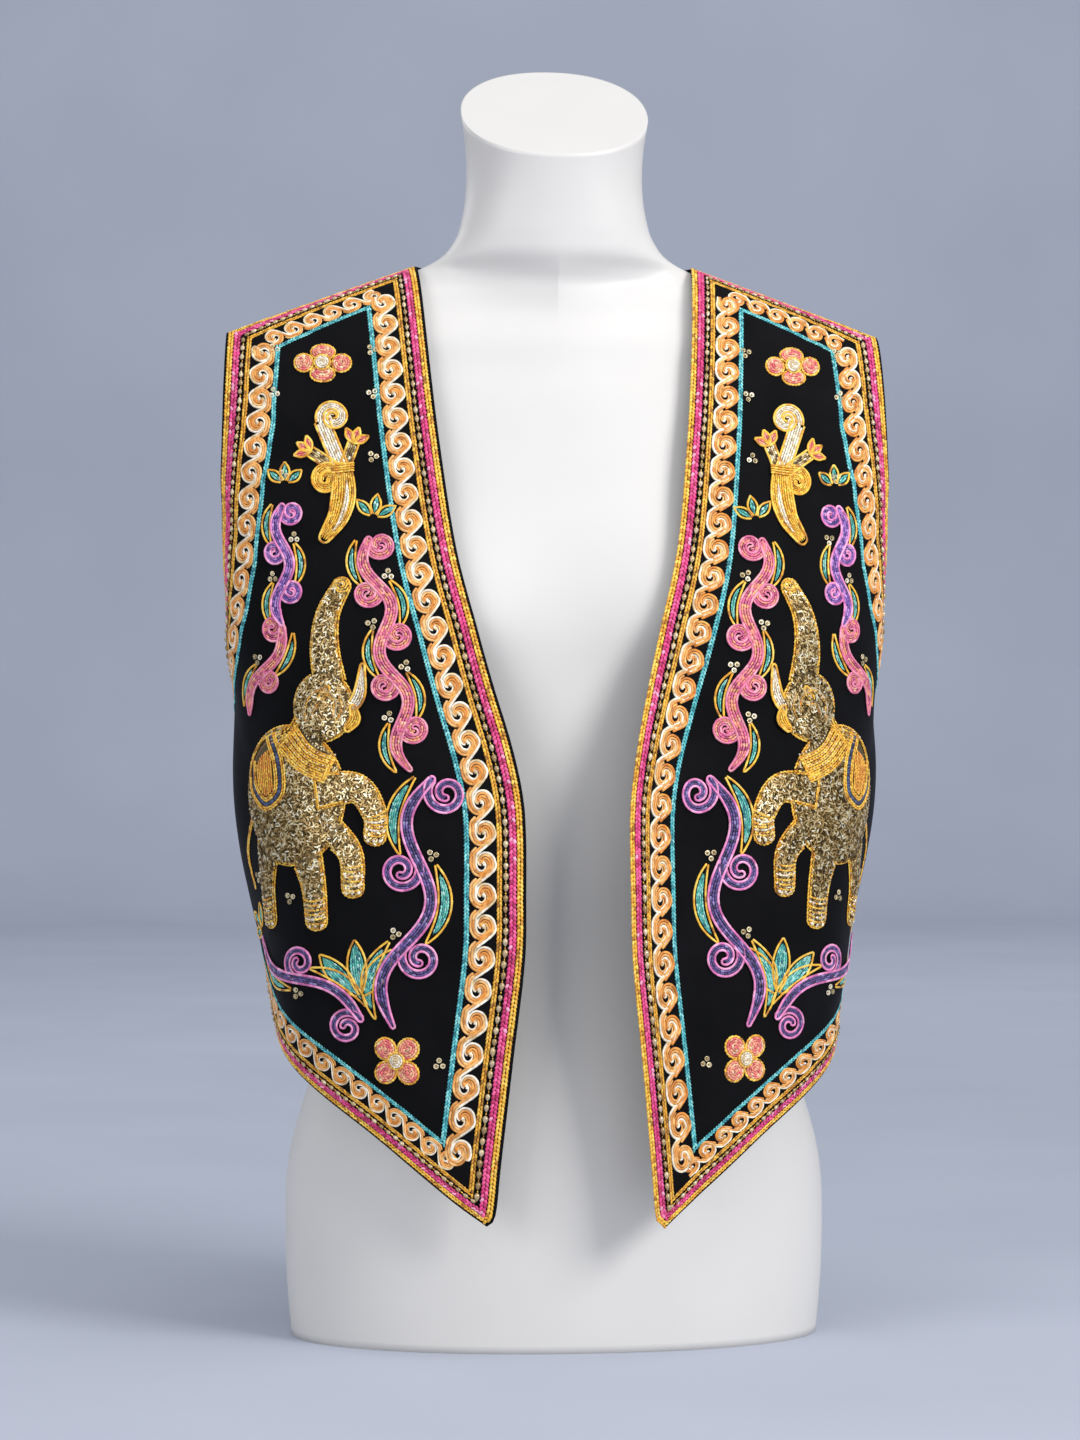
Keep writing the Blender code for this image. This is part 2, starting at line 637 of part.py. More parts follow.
def latticed(bm):
    """Cuts the pad along a square lattice."""
    places = np.array([vert.co for vert in bm.verts])
    for axis in range(2):
        normal = (1, 0, 0) if axis == 0 else (0, 1, 0)
        first = np.floor(places[:, axis].min() / PAD_CELL) + 1
        for number in np.arange(first, places[:, axis].max() / PAD_CELL):
            centre = tuple(number * PAD_CELL * part for part in normal)
            geometry = list(bm.verts) + list(bm.edges) + list(bm.faces)
            bmesh.ops.bisect_plane(bm, geom=geometry, dist=1e-5, plane_co=centre, plane_no=normal)
    bmesh.ops.dissolve_degenerate(bm, edges=bm.edges, dist=2e-4)


def make_pad(name, outlines, sizes, colour, mirror, turn, collection, cutters):
    bm = joined(outlines, cutters)
    latticed(bm)
    places = np.array([vert.co for vert in bm.verts])
    top = places[:, 2] > FLAT / 2
    inside = np.array([all(abs(face.normal.z) > 0.5 for face in vert.link_faces) for vert in bm.verts])
    lift = WALL + sizes["lay"] + top * sizes["height"] * (1 + PAD_RISE * inside)
    for vert, place in zip(bm.verts, lifted(places[:, 0], places[:, 1], lift, turn=turn, mirror=mirror)):
        vert.co = place
    bmesh.ops.triangulate(bm, faces=bm.faces)
    return add_object(name, bm, colour, collection)


def make_appliques(name, mirror, turn, collection, cutters):
    place = {"mirror": mirror, "turn": turn, "collection": collection, "cutters": cutters}
    make_pad("elephant_" + name, elephant_outlines(), ELEPHANT, "bullion", **place)
    for flower, s, h, petal_turn in FLOWERS:
        outlines = petal_outlines(s, h, petal_turn, PETALS[flower])
        make_pad(flower + "_flower_" + name, outlines, PETAL, "rose", **place)


# ---------------------------------------------------------------- the dress form

SHOULDER_CLEAR = 0.0009
RIDGE_SLOPE = (NECK_Z - TIP_Z) / (TIP_X - NECK_X)


def under_ridge(z):
    """The form's half width where it just clears the shoulder seam."""
    return NECK_X + (NECK_Z - SHOULDER_CLEAR - z) / RIDGE_SLOPE


# Level rings: a low power draws the ring out to the sides or thins it towards them
FORM_COLUMNS = ("z", "half_width", "front", "back", "middle", "tilt", "side_power", "depth_power")
FORM = (
    (0.000, 0.165, 0.100, 0.112, 0.000, 0.000, 2.15, 2.15),
    (0.020, 0.167, 0.101, 0.114, 0.000, 0.000, 2.15, 2.15),
    (0.060, 0.169, 0.102, 0.117, 0.000, 0.000, 2.15, 2.15),
    (0.110, 0.167, 0.102, 0.113, 0.000, 0.000, 2.15, 2.15),
    (0.160, 0.153, 0.098, 0.098, 0.000, 0.000, 2.15, 2.15),
    (0.205, 0.134, 0.091, 0.083, 0.000, 0.000, 2.15, 2.15),
    (0.240, 0.126, 0.086, 0.077, 0.000, 0.000, 2.15, 2.15),
    (0.290, 0.131, 0.085, 0.080, 0.000, 0.000, 2.15, 2.15),
    (0.340, 0.142, 0.083, 0.086, 0.000, 0.000, 2.15, 2.15),
    (0.385, 0.150, 0.082, 0.091, 0.000, 0.000, 2.15, 2.15),
    (0.415, 0.154, 0.081, 0.093, 0.000, 0.000, 2.15, 2.15),
    (0.440, 0.156, 0.080, 0.094, 0.000, 0.000, 2.15, 2.15),
    (0.465, 0.157, 0.077, 0.094, 0.000, 0.000, 2.15, 2.15),
    (0.495, 0.160, 0.071, 0.092, 0.000, 0.000, 2.15, 2.15),
    (0.525, 0.164, 0.063, 0.088, 0.001, 0.000, 2.10, 2.15),
    (0.555, 0.169, 0.055, 0.082, 0.002, 0.000, 2.00, 2.10),
    (0.585, 0.175, 0.047, 0.074, 0.003, 0.000, 1.85, 2.05),
    (0.605, 0.178, 0.040, 0.067, 0.004, 0.000, 1.70, 2.00),
    (0.620, 0.177, 0.036, 0.060, 0.004, 0.000, 1.50, 1.95),
    (0.632, 0.169, 0.031, 0.055, 0.004, 0.000, 1.30, 1.85),
    (0.640, under_ridge(0.640), 0.028, 0.052, 0.004, 0.000, 1.15, 1.70),
    (0.650, under_ridge(0.650), 0.027, 0.050, 0.004, 0.000, 1.05, 1.50),
    (0.660, under_ridge(0.660), 0.028, 0.049, 0.004, 0.000, 1.05, 1.30),
    (0.6669, under_ridge(0.6669), 0.033, 0.050, 0.003, 0.000, 1.20, 1.35),
    (0.674, 0.0725, 0.0380, 0.051, 0.003, 0.000, 1.60, 1.80),
    (0.685, 0.0630, 0.0405, 0.053, 0.002, 0.000, 1.90, 2.05),
    (0.700, 0.0580, 0.0425, 0.055, 0.002, 0.040, 2.10, 2.15),
    (0.720, 0.0555, 0.0450, 0.056, 0.002, 0.170, 2.15, 2.15),
    (0.742, 0.0560, 0.0475, 0.056, 0.001, 0.380, 2.15, 2.15),
    (0.7655, 0.0590, 0.0500, 0.055, 0.000, 0.638, 2.15, 2.15),
)
FORM_SIDES = 36
BREAST = {"x": 0.072, "z": 0.447, "out": 0.012, "wide": 0.040, "above": 0.060, "below": 0.036}


def form_ring(z, half_width, front, back, middle, tilt, side_power, depth_power):
    turn = np.linspace(0, 2 * pi, FORM_SIDES, endpoint=False) + pi / FORM_SIDES
    sine, cosine = np.sin(turn), np.cos(turn)
    depth = np.where(cosine > 0, front + middle, back - middle)
    x = half_width * np.sign(sine) * np.abs(sine) ** (2 / side_power)
    y = middle - depth * np.sign(cosine) * np.abs(cosine) ** (2 / depth_power)
    tall = BREAST["above"] if z > BREAST["z"] else BREAST["below"]
    swell = np.exp(-((np.abs(x) - BREAST["x"]) / BREAST["wide"]) ** 2 - ((z - BREAST["z"]) / tall) ** 2)
    y = y - BREAST["out"] * swell * (cosine > 0)
    return np.stack([x, y, z + tilt * y], 1)


def make_form(collection):
    rings = np.stack([form_ring(*row) for row in FORM])
    bm = sheet(np.concatenate([rings, rings[:, :1]], axis=1))
    bmesh.ops.remove_doubles(bm, verts=bm.verts, dist=1e-6)
    bmesh.ops.holes_fill(bm, edges=[edge for edge in bm.edges if edge.is_boundary], sides=0)
    return add_object("dress_form", bm, "form_white", collection)


def main():
    for item in list(bpy.data.objects):
        bpy.data.objects.remove(item)
    make_materials()
    collection = bpy.data.collections.new("embroidered_folk_vest")
    cutters = bpy.data.collections.new("cutters")
    bpy.context.scene.collection.children.link(collection)
    bpy.context.scene.collection.children.link(cutters)
    make_form(collection)
    make_back(collection)
    for name, mirror, turn, extra in SIDES:
        make_front(name, mirror, turn, extra, collection)
        edges = front_edges(extra)
        make_braids(name, mirror, turn, edges, collection)
        make_scroll_band(name, mirror, turn, edges, collection)
        make_appliques(name, mirror, turn, collection, cutters)


main()
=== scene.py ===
"""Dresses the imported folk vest: velvet with creases, couched cords, bullion work and sequins.

Everything sewn on a front is drawn in the front's flat pattern, the way round (s) and the way up (h), in metres
or, where a section says so, in other units, and then laid on the worn cloth. The pattern and the worn shape are
the same as the solids'.
"""
from math import cos, pi, radians, sin

import bpy
import numpy as np
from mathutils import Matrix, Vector

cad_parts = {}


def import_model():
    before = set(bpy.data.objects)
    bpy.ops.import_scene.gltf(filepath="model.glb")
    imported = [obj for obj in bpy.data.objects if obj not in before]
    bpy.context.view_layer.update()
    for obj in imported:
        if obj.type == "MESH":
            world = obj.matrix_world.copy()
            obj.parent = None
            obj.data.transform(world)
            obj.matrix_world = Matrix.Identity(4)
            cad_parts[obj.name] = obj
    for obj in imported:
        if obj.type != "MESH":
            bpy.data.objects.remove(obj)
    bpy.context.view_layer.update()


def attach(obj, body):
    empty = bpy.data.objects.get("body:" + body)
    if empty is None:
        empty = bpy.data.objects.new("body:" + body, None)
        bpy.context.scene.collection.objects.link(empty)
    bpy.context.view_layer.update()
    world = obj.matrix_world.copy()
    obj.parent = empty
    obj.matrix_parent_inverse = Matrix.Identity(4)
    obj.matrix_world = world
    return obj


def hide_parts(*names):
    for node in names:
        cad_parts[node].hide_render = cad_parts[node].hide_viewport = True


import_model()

# ---------------------------------------------------------------- named sizes shared with the solids

WALL = 0.0020
SEAM_GAP = 0.0003
CHEST_Z = 0.440
RING_HALF_WIDTH = 0.2035
RING_Y = -0.010
RING_FRONT = 0.086
RING_BACK = 0.112
RING_POWER = 2.35
RING_STEPS = 2000
RIDGE_Y = 0.004
NECK_X, NECK_Z = 0.0865, 0.6675
TIP_X, TIP_Z = 0.2055, 0.6246
SHOULDER = 0.127
TIP_S = NECK_X + SHOULDER
PROFILE_STEPS = 40
FRONT_RISE, FRONT_RUN = 0.22, 0.42
BACK_RISE, BACK_RUN = 0.58, 0.60
SIDE_DRAW, SIDE_DROP = 0.025, 0.05
WAIST_DRAW, WAIST_TOP, WAIST_DROP = 0.14, 0.08, 0.22
SWING, SWING_DROP = 0.036, 0.30
BUST = {"s": 0.112, "h": -0.005, "out": 0.010, "wide": 0.045, "tall": 0.075}

# columns: s, h, wide, tall, out
FRONT_FOLDS = (
    (0.205, -0.150, 0.020, 0.085, -0.0028),
    (0.170, -0.230, 0.022, 0.060, 0.0022),
    (0.120, -0.270, 0.022, 0.070, -0.0020),
    (0.232, -0.120, 0.018, 0.070, 0.0025),
)
BACK_FOLDS = (
    (0.355, -0.150, 0.018, 0.085, -0.0026),
    (0.385, -0.110, 0.020, 0.100, 0.0028),
    (0.422, -0.150, 0.020, 0.070, -0.0030),
    (0.465, -0.130, 0.020, 0.090, 0.0026),
)

# Soft creases: the middle, the lean from upright in degrees, half length, half width, and out (+) or in (-)
# columns: s, h, lean, long, wide, out
FRONT_CREASES = (
    (0.185, 0.205, 62, 0.030, 0.0050, 0.0007),
    (0.160, 0.190, 56, 0.034, 0.0060, -0.0008),
    (0.145, 0.150, 60, 0.028, 0.0055, 0.0007),
    (0.175, 0.125, 52, 0.036, 0.0070, -0.0009),
    (0.190, 0.095, 48, 0.030, 0.0060, 0.0008),
    (0.150, 0.075, 50, 0.026, 0.0055, -0.0007),
    (0.205, 0.050, 40, 0.040, 0.0080, -0.0010),
    (0.215, 0.010, 34, 0.034, 0.0070, 0.0009),
    (0.145, -0.065, 30, 0.022, 0.0060, 0.0006),
    (0.150, -0.120, 24, 0.030, 0.0065, -0.0008),
    (0.225, -0.060, 28, 0.038, 0.0080, -0.0010),
    (0.120, -0.215, 16, 0.026, 0.0060, 0.0007),
    (0.150, -0.245, 30, 0.028, 0.0065, -0.0008),
    (0.190, -0.205, 22, 0.032, 0.0070, 0.0008),
    (0.100, -0.285, 22, 0.022, 0.0055, -0.0006),
    (0.240, -0.165, 12, 0.040, 0.0080, -0.0009),
)
BACK_CREASES = (
    (0.310, -0.060, -18, 0.050, 0.0090, -0.0012),
    (0.330, 0.020, -35, 0.040, 0.0080, 0.0010),
    (0.345, 0.110, -48, 0.038, 0.0085, -0.0011),
    (0.365, 0.185, -60, 0.032, 0.0070, 0.0009),
    (0.400, 0.060, -22, 0.046, 0.0090, -0.0010),
    (0.415, 0.140, -30, 0.040, 0.0080, 0.0009),
    (0.440, -0.010, -12, 0.052, 0.0095, 0.0011),
    (0.450, 0.190, 8, 0.034, 0.0075, -0.0008),
    (0.475, 0.080, 6, 0.060, 0.0100, -0.0010),
    (0.375, -0.045, -10, 0.046, 0.0080, 0.0010),
    (0.400, -0.165, 5, 0.036, 0.0070, 0.0008),
    (0.445, -0.165, -6, 0.034, 0.0070, -0.0009),
    (0.330, -0.150, 8, 0.034, 0.0070, 0.0009),
)

# columns: name, mirror, turn, extra
SIDES = (
    ("right", -1, 4.0, 0.000),
    ("left", 1, 43.0, 0.006),
)
TURN_HINGE, TURN_EASE = 0.078, 0.027
TURN_TOP, TURN_DROP, TURN_UPPER = 0.04, 0.12, 0.35

TIP = (0.0522, -0.3587)
# columns: s, h
FRONT_EDGE = (
    TIP, (0.0470, -0.352), (0.0435, -0.320), (0.0365, -0.260), (0.0292, -0.200), (0.0282, -0.160),
    (0.0280, -0.125), (0.0298, -0.100), (0.0362, -0.070), (0.0465, -0.035), (0.0558, 0.000),
    (0.0675, 0.050), (0.0762, 0.120), (0.0815, 0.180), (0.0865, None),
)
HEM_EDGE = (
    TIP, (0.0715, -0.3450), (0.1060, -0.3175), (0.1480, -0.2870), (0.1900, -0.2570), (0.2300, -0.2290),
    (None, -0.2030),
)
ARMHOLE_EDGE = (
    (None, -0.0210), (0.2575, -0.0150), (0.2480, -0.0030), (0.2385, 0.0200), (0.2310, 0.0550),
    (0.2245, 0.0940), (0.2192, 0.1270), (TIP_S, None),
)
SIDE_SEAM_BACK = 0.025
BACK_NECK_DROP = 0.030
BORDER = {"hem": 0.0250, "front": 0.0370, "shoulder": 0.0270, "armhole": 0.0365}


def smooth(x):
    x = np.clip(x, 0, 1)
    return x * x * (3 - 2 * x)


# ---------------------------------------------------------------- the worn shape of the cloth

def half_ring():
    """The chest line from centre front round to centre back: its length so far, x and y."""
    turn = np.linspace(0, pi, 2 * RING_STEPS + 1)
    sine, cosine = np.sin(turn), -np.cos(turn)
    depth = np.where(cosine < 0, RING_FRONT, RING_BACK)
    across = np.abs(sine / RING_HALF_WIDTH) ** RING_POWER
    along = np.abs(cosine / depth) ** RING_POWER
    radius = (across + along) ** (-1 / RING_POWER)
    x, y = radius * sine, radius * cosine
    steps = np.hypot(np.diff(x), np.diff(y))
    return np.concatenate([[0], np.cumsum(steps)]), x, y


RING_S, RING_XS, RING_YS = half_ring()
GIRTH = RING_S[-1]
SEAM_S = float(np.interp(0, RING_YS, RING_S)) + SIDE_SEAM_BACK


def on_ring(s):
    return np.interp(s, RING_S, RING_XS), np.interp(s, RING_S, RING_YS)


def ridge(a):
    """The shoulder ridge's x and z, a measured from the centre line."""
    share = (a - NECK_X) / SHOULDER
    return NECK_X + share * (TIP_X - NECK_X), NECK_Z + share * (TIP_Z - NECK_Z)


def profile(s, back):
    """Above the chest: a Bezier curve up to the ridge. Its y, z and length so far, a row for each s."""
    y_c = on_ring(s)[1]
    top = ridge(GIRTH - s if back else s)[1][:, None]
    slope = 0.0 if back else 2 * SWING / SWING_DROP
    lean = slope * np.clip(-y_c / RING_FRONT, 0, 1)[:, None]
    rise, run = (BACK_RISE, BACK_RUN) if back else (FRONT_RISE, FRONT_RUN)
    t = np.linspace(0, 1, PROFILE_STEPS + 1)[None, :]
    b0, b1, b2, b3 = (1 - t) ** 3, 3 * t * (1 - t) ** 2, 3 * t * t * (1 - t), t ** 3
    start = y_c[:, None] + RING_Y
    lift = rise * (top - CHEST_Z)
    y = b0 * start + b1 * (start + lean * lift) + b2 * (RIDGE_Y + run * (start - RIDGE_Y)) + b3 * RIDGE_Y
    z = b0 * CHEST_Z + b1 * (CHEST_Z + lift) + (b2 + b3) * top
    steps = np.hypot(np.diff(y), np.diff(z))
    return y, z, np.concatenate([np.zeros_like(start), np.cumsum(steps, axis=1)], axis=1)


def ridge_h(s, back=False):
    """The pattern height of the shoulder ridge at s."""
    return profile(np.atleast_1d(np.asarray(s, float)), back)[2][:, -1]


def drawn_in(drop):
    """The share of the chest girth that is left at a drop below it."""
    return 1 - SIDE_DRAW * smooth(drop / SIDE_DROP) - WAIST_DRAW * smooth((drop - WAIST_TOP) / WAIST_DROP)


def below_chest(s, drop, back):
    k = drawn_in(drop)
    x, y = on_ring(GIRTH - (GIRTH - s) / k) if back else on_ring(s / k)
    swing = SWING * (1 - (1 - np.clip(drop / SWING_DROP, 0, 1)) ** 2) + RING_FRONT * (1 - k)
    return np.stack([k * x, RING_Y + k * y - swing * np.clip(-y / RING_FRONT, 0, 1), CHEST_Z - drop], 1)


def above_chest(s, h, back):
    y, z, length = profile(s, back)
    count = (length < h[:, None]).sum(axis=1).clip(1, PROFILE_STEPS)
    row = np.arange(len(s))
    low, high = length[row, count - 1], length[row, count]
    part = np.maximum((h - low) / (high - low), 0)
    x_c = on_ring(s)[0]
    x_s = ridge(GIRTH - s if back else s)[0]
    share = smooth(h / length[:, -1])
    return np.stack([x_c + (x_s - x_c) * share,
                     y[row, count - 1] + part * (y[row, count] - y[row, count - 1]),
                     z[row, count - 1] + part * (z[row, count] - z[row, count - 1])], 1)


def bulge(s, h, wide, tall, out, at_s, at_h):
    return out * np.exp(-((s - at_s) / wide) ** 2 - ((h - at_h) / tall) ** 2)


CREASE_BOW = 2.2


def creased(s, h, back):
    """How far the cloth stands out in its soft creases."""
    swell = np.zeros_like(s)
    for at_s, at_h, lean, long, wide, out in BACK_CREASES if back else FRONT_CREASES:
        turn = radians(lean)
        along = (s - at_s) * sin(turn) + (h - at_h) * cos(turn)
        bend = along * along * CREASE_BOW
        across = (s - at_s) * cos(turn) - (h - at_h) * sin(turn) + bend
        swell += out * np.exp(-(along / long) ** 2 - (across / wide) ** 2)
    return swell


def turned_out(points, s, h, turn):
    """Turns a front's edge strip out about a soft hinge."""
    reach = np.clip(TURN_HINGE - s, 0, None)
    held = TURN_UPPER + (1 - TURN_UPPER) * smooth((TURN_TOP - h) / TURN_DROP)
    angle = radians(turn) * held * reach / (reach + TURN_EASE)
    points[:, 0] += reach * (1 - np.cos(angle))
    points[:, 1] -= reach * np.sin(angle)


def cloth(s, h, back=False, turn=0.0):
    """The inner face of the cloth on the wearer's left, at the pattern points."""
    s, h = np.broadcast_arrays(np.asarray(s, float), np.asarray(h, float))
    shape = s.shape
    s, h = s.ravel(), h.ravel()
    points = np.empty((len(s), 3))
    low = h <= 0
    points[low] = below_chest(s[low], -h[low], back)
    points[~low] = above_chest(s[~low], h[~low], back)
    x, y = on_ring(s)
    span = np.hypot(x, y)
    swell = creased(s, h, back)
    for at_s, at_h, wide, tall, out in BACK_FOLDS if back else FRONT_FOLDS:
        swell += bulge(s, h, wide, tall, out, at_s, at_h)
    points[:, 0] += swell * x / span
    points[:, 1] += swell * y / span
    if not back:
        points[:, 1] -= bulge(s, h, BUST["wide"], BUST["tall"], BUST["out"], BUST["s"], BUST["h"])
        turned_out(points, s, h, turn)
    return points.reshape(shape + (3,))


def surface(s, h, back=False, turn=0.0):
    """The cloth's inner face and the way out of it."""
    step = 5e-4
    s, h = np.asarray(s, float), np.asarray(h, float)
    across = cloth(s + step, h, back, turn) - cloth(s - step, h, back, turn)
    up = cloth(s, h + step, back, turn) - cloth(s, h - step, back, turn)
    return cloth(s, h, back, turn), unit(np.cross(across, up))


class Field:
    """A front's worn surface, kept on a fine grid of pattern points."""

    CELL = 0.0016
    LOW = np.array([0.012, -0.370])
    HIGH = np.array([0.275, 0.262])

    def __init__(self, mirror, turn):
        self.mirror = mirror
        self.count = np.ceil((self.HIGH - self.LOW) / self.CELL).astype(int) + 1
        s = self.LOW[0] + np.arange(self.count[0]) * self.CELL
        h = self.LOW[1] + np.arange(self.count[1]) * self.CELL
        grid_s, grid_h = np.meshgrid(s, h, indexing="ij")
        self.points, self.out = surface(grid_s, grid_h, turn=turn)

    def place(self, points, lift):
        """World points and the way out, for pattern points lifted off the cloth's inner face."""
        at = (points - self.LOW) / self.CELL
        cell = np.clip(np.floor(at).astype(int), 0, self.count - 2)
        u, v = (at - cell).T
        i, j = cell.T
        weights = ((1 - u) * (1 - v), u * (1 - v), (1 - u) * v, u * v)
        corners = ((i, j), (i + 1, j), (i, j + 1), (i + 1, j + 1))
        where = sum(w[:, None] * self.points[c] for w, c in zip(weights, corners))
        out = unit(sum(w[:, None] * self.out[c] for w, c in zip(weights, corners)))
        where = where + out * np.broadcast_to(lift, len(points))[:, None]
        flip = np.array([self.mirror, 1, 1])
        return where * flip, out * flip


# ---------------------------------------------------------------- lines in the pattern

def edge_points(table, end_s, extra=0.0):
    """An edge's pattern points, with its blank ends filled in: a blank s is the seam, a blank h the ridge."""
    rows = []
    for s, h in table:
        s = end_s if s is None else s
        h = float(ridge_h(s)[0]) - SEAM_GAP / 2 if h is None else h
        if extra:
            held = TURN_UPPER + (1 - TURN_UPPER) * float(smooth((TURN_TOP - h) / TURN_DROP))
            s -= extra * held
        rows.append((s, h))
    return np.array(rows)


def lengths(points):
    return np.concatenate([[0], np.cumsum(np.hypot(*np.diff(points, axis=0).T))])


def at_lengths(points, at):
    """The points of a polyline at the lengths along it."""
    length = lengths(points)
    return np.stack([np.interp(at, length, points[:, 0]), np.interp(at, length, points[:, 1])], 1)


def spread(points, count, crowd=1.0):
    """Points spread along a polyline, evenly or crowded towards its end."""
    return at_lengths(points, lengths(points)[-1] * (1 - np.linspace(1, 0, count) ** crowd))


def stepped(points, step):
    """Points along a polyline, as near to a step apart as its length allows."""
    return spread(points, max(int(round(lengths(points)[-1] / step)), 2) + 1)


def rounded(points, steps=6):
    """A smooth curve through the points."""
    points = np.asarray(points, float)
    ends = np.vstack([2 * points[0] - points[1], points, 2 * points[-1] - points[-2]])
    t = np.linspace(0, 1, steps, endpoint=False)[:, None]
    parts = []
    for a, b, c, d in zip(ends, ends[1:], ends[2:], ends[3:]):
        bend = (2 * a - 5 * b + 4 * c - d) * t ** 2 + (3 * b - a - 3 * c + d) * t ** 3
        parts.append(0.5 * (2 * b + (c - a) * t + bend))
    return np.vstack(parts + [points[-1:]])


def unit(way):
    """The ways made one long."""
    return way / np.maximum(np.linalg.norm(way, axis=-1, keepdims=True), 1e-12)


def ways(points):
    """The unit way along a polyline at each of its points."""
    return unit(np.gradient(points, axis=0))


def ways_at(points, at, look=1e-3):
    """The unit ways along a polyline at the lengths along it."""
    return unit(at_lengths(points, at + look) - at_lengths(points, at - look))


def left_of(way):
    """The way turned a quarter to its left."""
    return np.stack([-way[..., 1], way[..., 0]], -1)


def turned(way, angle):
    """The ways turned to their left by an angle, one for all or one for each."""
    x, y = way[..., 0], way[..., 1]
    return np.stack([x * np.cos(angle) - y * np.sin(angle), x * np.sin(angle) + y * np.cos(angle)], -1)


def offset(points, distance):
    """A polyline moved to its left by a distance, one for all or one for each point."""
    return points + left_of(ways(points)) * np.broadcast_to(distance, len(points))[:, None]


def coons(left, right, bottom, top):
    """Fills the four edges of a piece. left and right run up, bottom and top run from left to right."""
    rows, columns = len(left), len(bottom)
    u = np.linspace(0, 1, columns)[None, :, None]
    v = np.linspace(0, 1, rows)[:, None, None]
    sides = (1 - u) * left[:, None] + u * right[:, None]
    ends = (1 - v) * bottom[None] + v * top[None]
    corners = ((1 - u) * (1 - v) * left[0] + u * (1 - v) * right[0]
               + (1 - u) * v * left[-1] + u * v * right[-1])
    return sides + ends - corners


def crossing(first, second):
    """Where two polylines cross: the segment on each, and the point."""
    for i, (a, b) in enumerate(zip(first, first[1:])):
        for j, (c, d) in enumerate(zip(second, second[1:])):
            r, q = b - a, d - c
            area = r[0] * q[1] - r[1] * q[0]
            if abs(area) < 1e-14:
                continue
            t = ((c - a)[0] * q[1] - (c - a)[1] * q[0]) / area
            w = ((c - a)[0] * r[1] - (c - a)[1] * r[0]) / area
            if -1e-9 <= t <= 1 + 1e-9 and -1e-9 <= w <= 1 + 1e-9:
                return i, j, a + t * r
    return None


def stretched(points, length):
    """The polyline with both ends run on straight."""
    start, end = unit(points[1] - points[0]), unit(points[-1] - points[-2])
    return np.vstack([points[0] - start * length, points, points[-1] + end * length])


def cut_at(points, limit):
    """The polyline up to where it first passes s = limit."""
    for i in range(1, len(points)):
        if points[i, 0] > limit:
            share = (limit - points[i - 1, 0]) / (points[i, 0] - points[i - 1, 0])
            return np.vstack([points[:i], points[i - 1] + share * (points[i] - points[i - 1])])
    return points


def front_edges(extra):
    end = SEAM_S - SEAM_GAP / 2
    shoulder_s = np.linspace(NECK_X, TIP_S, 12)
    return {
        "hem": rounded(edge_points(HEM_EDGE, end)),
        "front": rounded(edge_points(FRONT_EDGE, end, extra)),
        "shoulder": np.stack([shoulder_s, ridge_h(shoulder_s) - SEAM_GAP / 2], 1),
        "armhole": rounded(edge_points(ARMHOLE_EDGE, end)),
    }


BORDER_NAMES = ("hem", "front", "shoulder", "armhole")
RUN_ROOM = 0.012             # how far each run goes on past its ends before the next one crosses it


def border_line(edges, share):
    """The line that runs a share of the border's depth inside the hem, front edge, shoulder and armhole."""
    runs = [edges["hem"][::-1], edges["front"], edges["shoulder"], edges["armhole"][::-1]]
    limit = SEAM_S - SEAM_GAP / 2
    lines = [stretched(offset(run, -BORDER[name] * share), RUN_ROOM) for run, name in zip(runs, BORDER_NAMES)]
    for number in range(3):
        i, j, point = crossing(lines[number], lines[number + 1])
        lines[number] = np.vstack([lines[number][:i + 1], point])
        lines[number + 1] = np.vstack([point, lines[number + 1][j + 1:]])
    lines[0] = cut_at(lines[0][::-1], limit)[::-1]
    lines[3] = cut_at(lines[3], limit)
    return lines


# ---------------------------------------------------------------- colours and materials

def linear(code):
    """A linear colour from a six-figure code."""
    parts = np.array([int(code[at:at + 2], 16) / 255 for at in (0, 2, 4)])
    return np.where(parts <= 0.04045, parts / 12.92, ((parts + 0.055) / 1.055) ** 2.4)


def shades(*rows):
    """A palette: pairs of a colour code and how often it comes."""
    weights = np.array([often for _, often in rows], float)
    return np.array([linear(code) for code, _ in rows]), weights / weights.sum()


GOLD = shades(("F0B83A", 6), ("F8CC58", 4), ("DC9A28", 3), ("B07420", 1))
INNER_GOLD = shades(("E8AA34", 5), ("F0BC48", 3), ("CC8C26", 2), ("A06C1C", 1))
MAGENTA = shades(("DE3C80", 5), ("EC5C94", 4), ("BC2862", 3), ("F4A0C0", 1))
TURQUOISE = shades(("5CBCC0", 5), ("84D4D2", 3), ("3CA0A8", 3), ("287C88", 1))
TAN = shades(("E4A052", 5), ("F0B870", 3), ("CC8434", 2))
ORANGE = shades(("E08C30", 4), ("EFA850", 3), ("C87624", 2))
CREAM = shades(("F6EBD8", 5), ("ECDCC0", 3), ("D8BE92", 2))
PINK = shades(("E486BA", 5), ("F0A4CC", 3), ("CC68A4", 2))
ROSE = shades(("E8848A", 4), ("EE9E78", 3), ("D86490", 3), ("F0B498", 1), ("B0446C", 1))
CORAL = shades(("E27C9C", 5), ("EE9CAC", 3), ("CC6088", 2))
LILAC = shades(("9A6AB8", 4), ("B286CC", 3), ("7650A2", 3), ("544088", 2), ("D49CD4", 1))
VIOLET = shades(("54447C", 5), ("6C5898", 3), ("382F5A", 3), ("9084B8", 1))
TEAL = shades(("5CBCAC", 4), ("88D0C2", 3), ("409C94", 3), ("2A7480", 1), ("B0DED4", 1))
SALMON = shades(("EE8474", 4), ("F4A48C", 2), ("DA6468", 2))
PETALS = shades(("EA8C78", 4), ("F2B28C", 3), ("DC6068", 2), ("F2D0A8", 1))
# The purl's palette: its own antique gold tones, with pale cream painted glints and dark brown painted shade
# picked at random among them.
BULLION_GLINTS_AND_SHADE = shades(("BA9C66", 4), ("DCC898", 3), ("8A7040", 4), ("F6ECCF", 2), ("564324", 2))
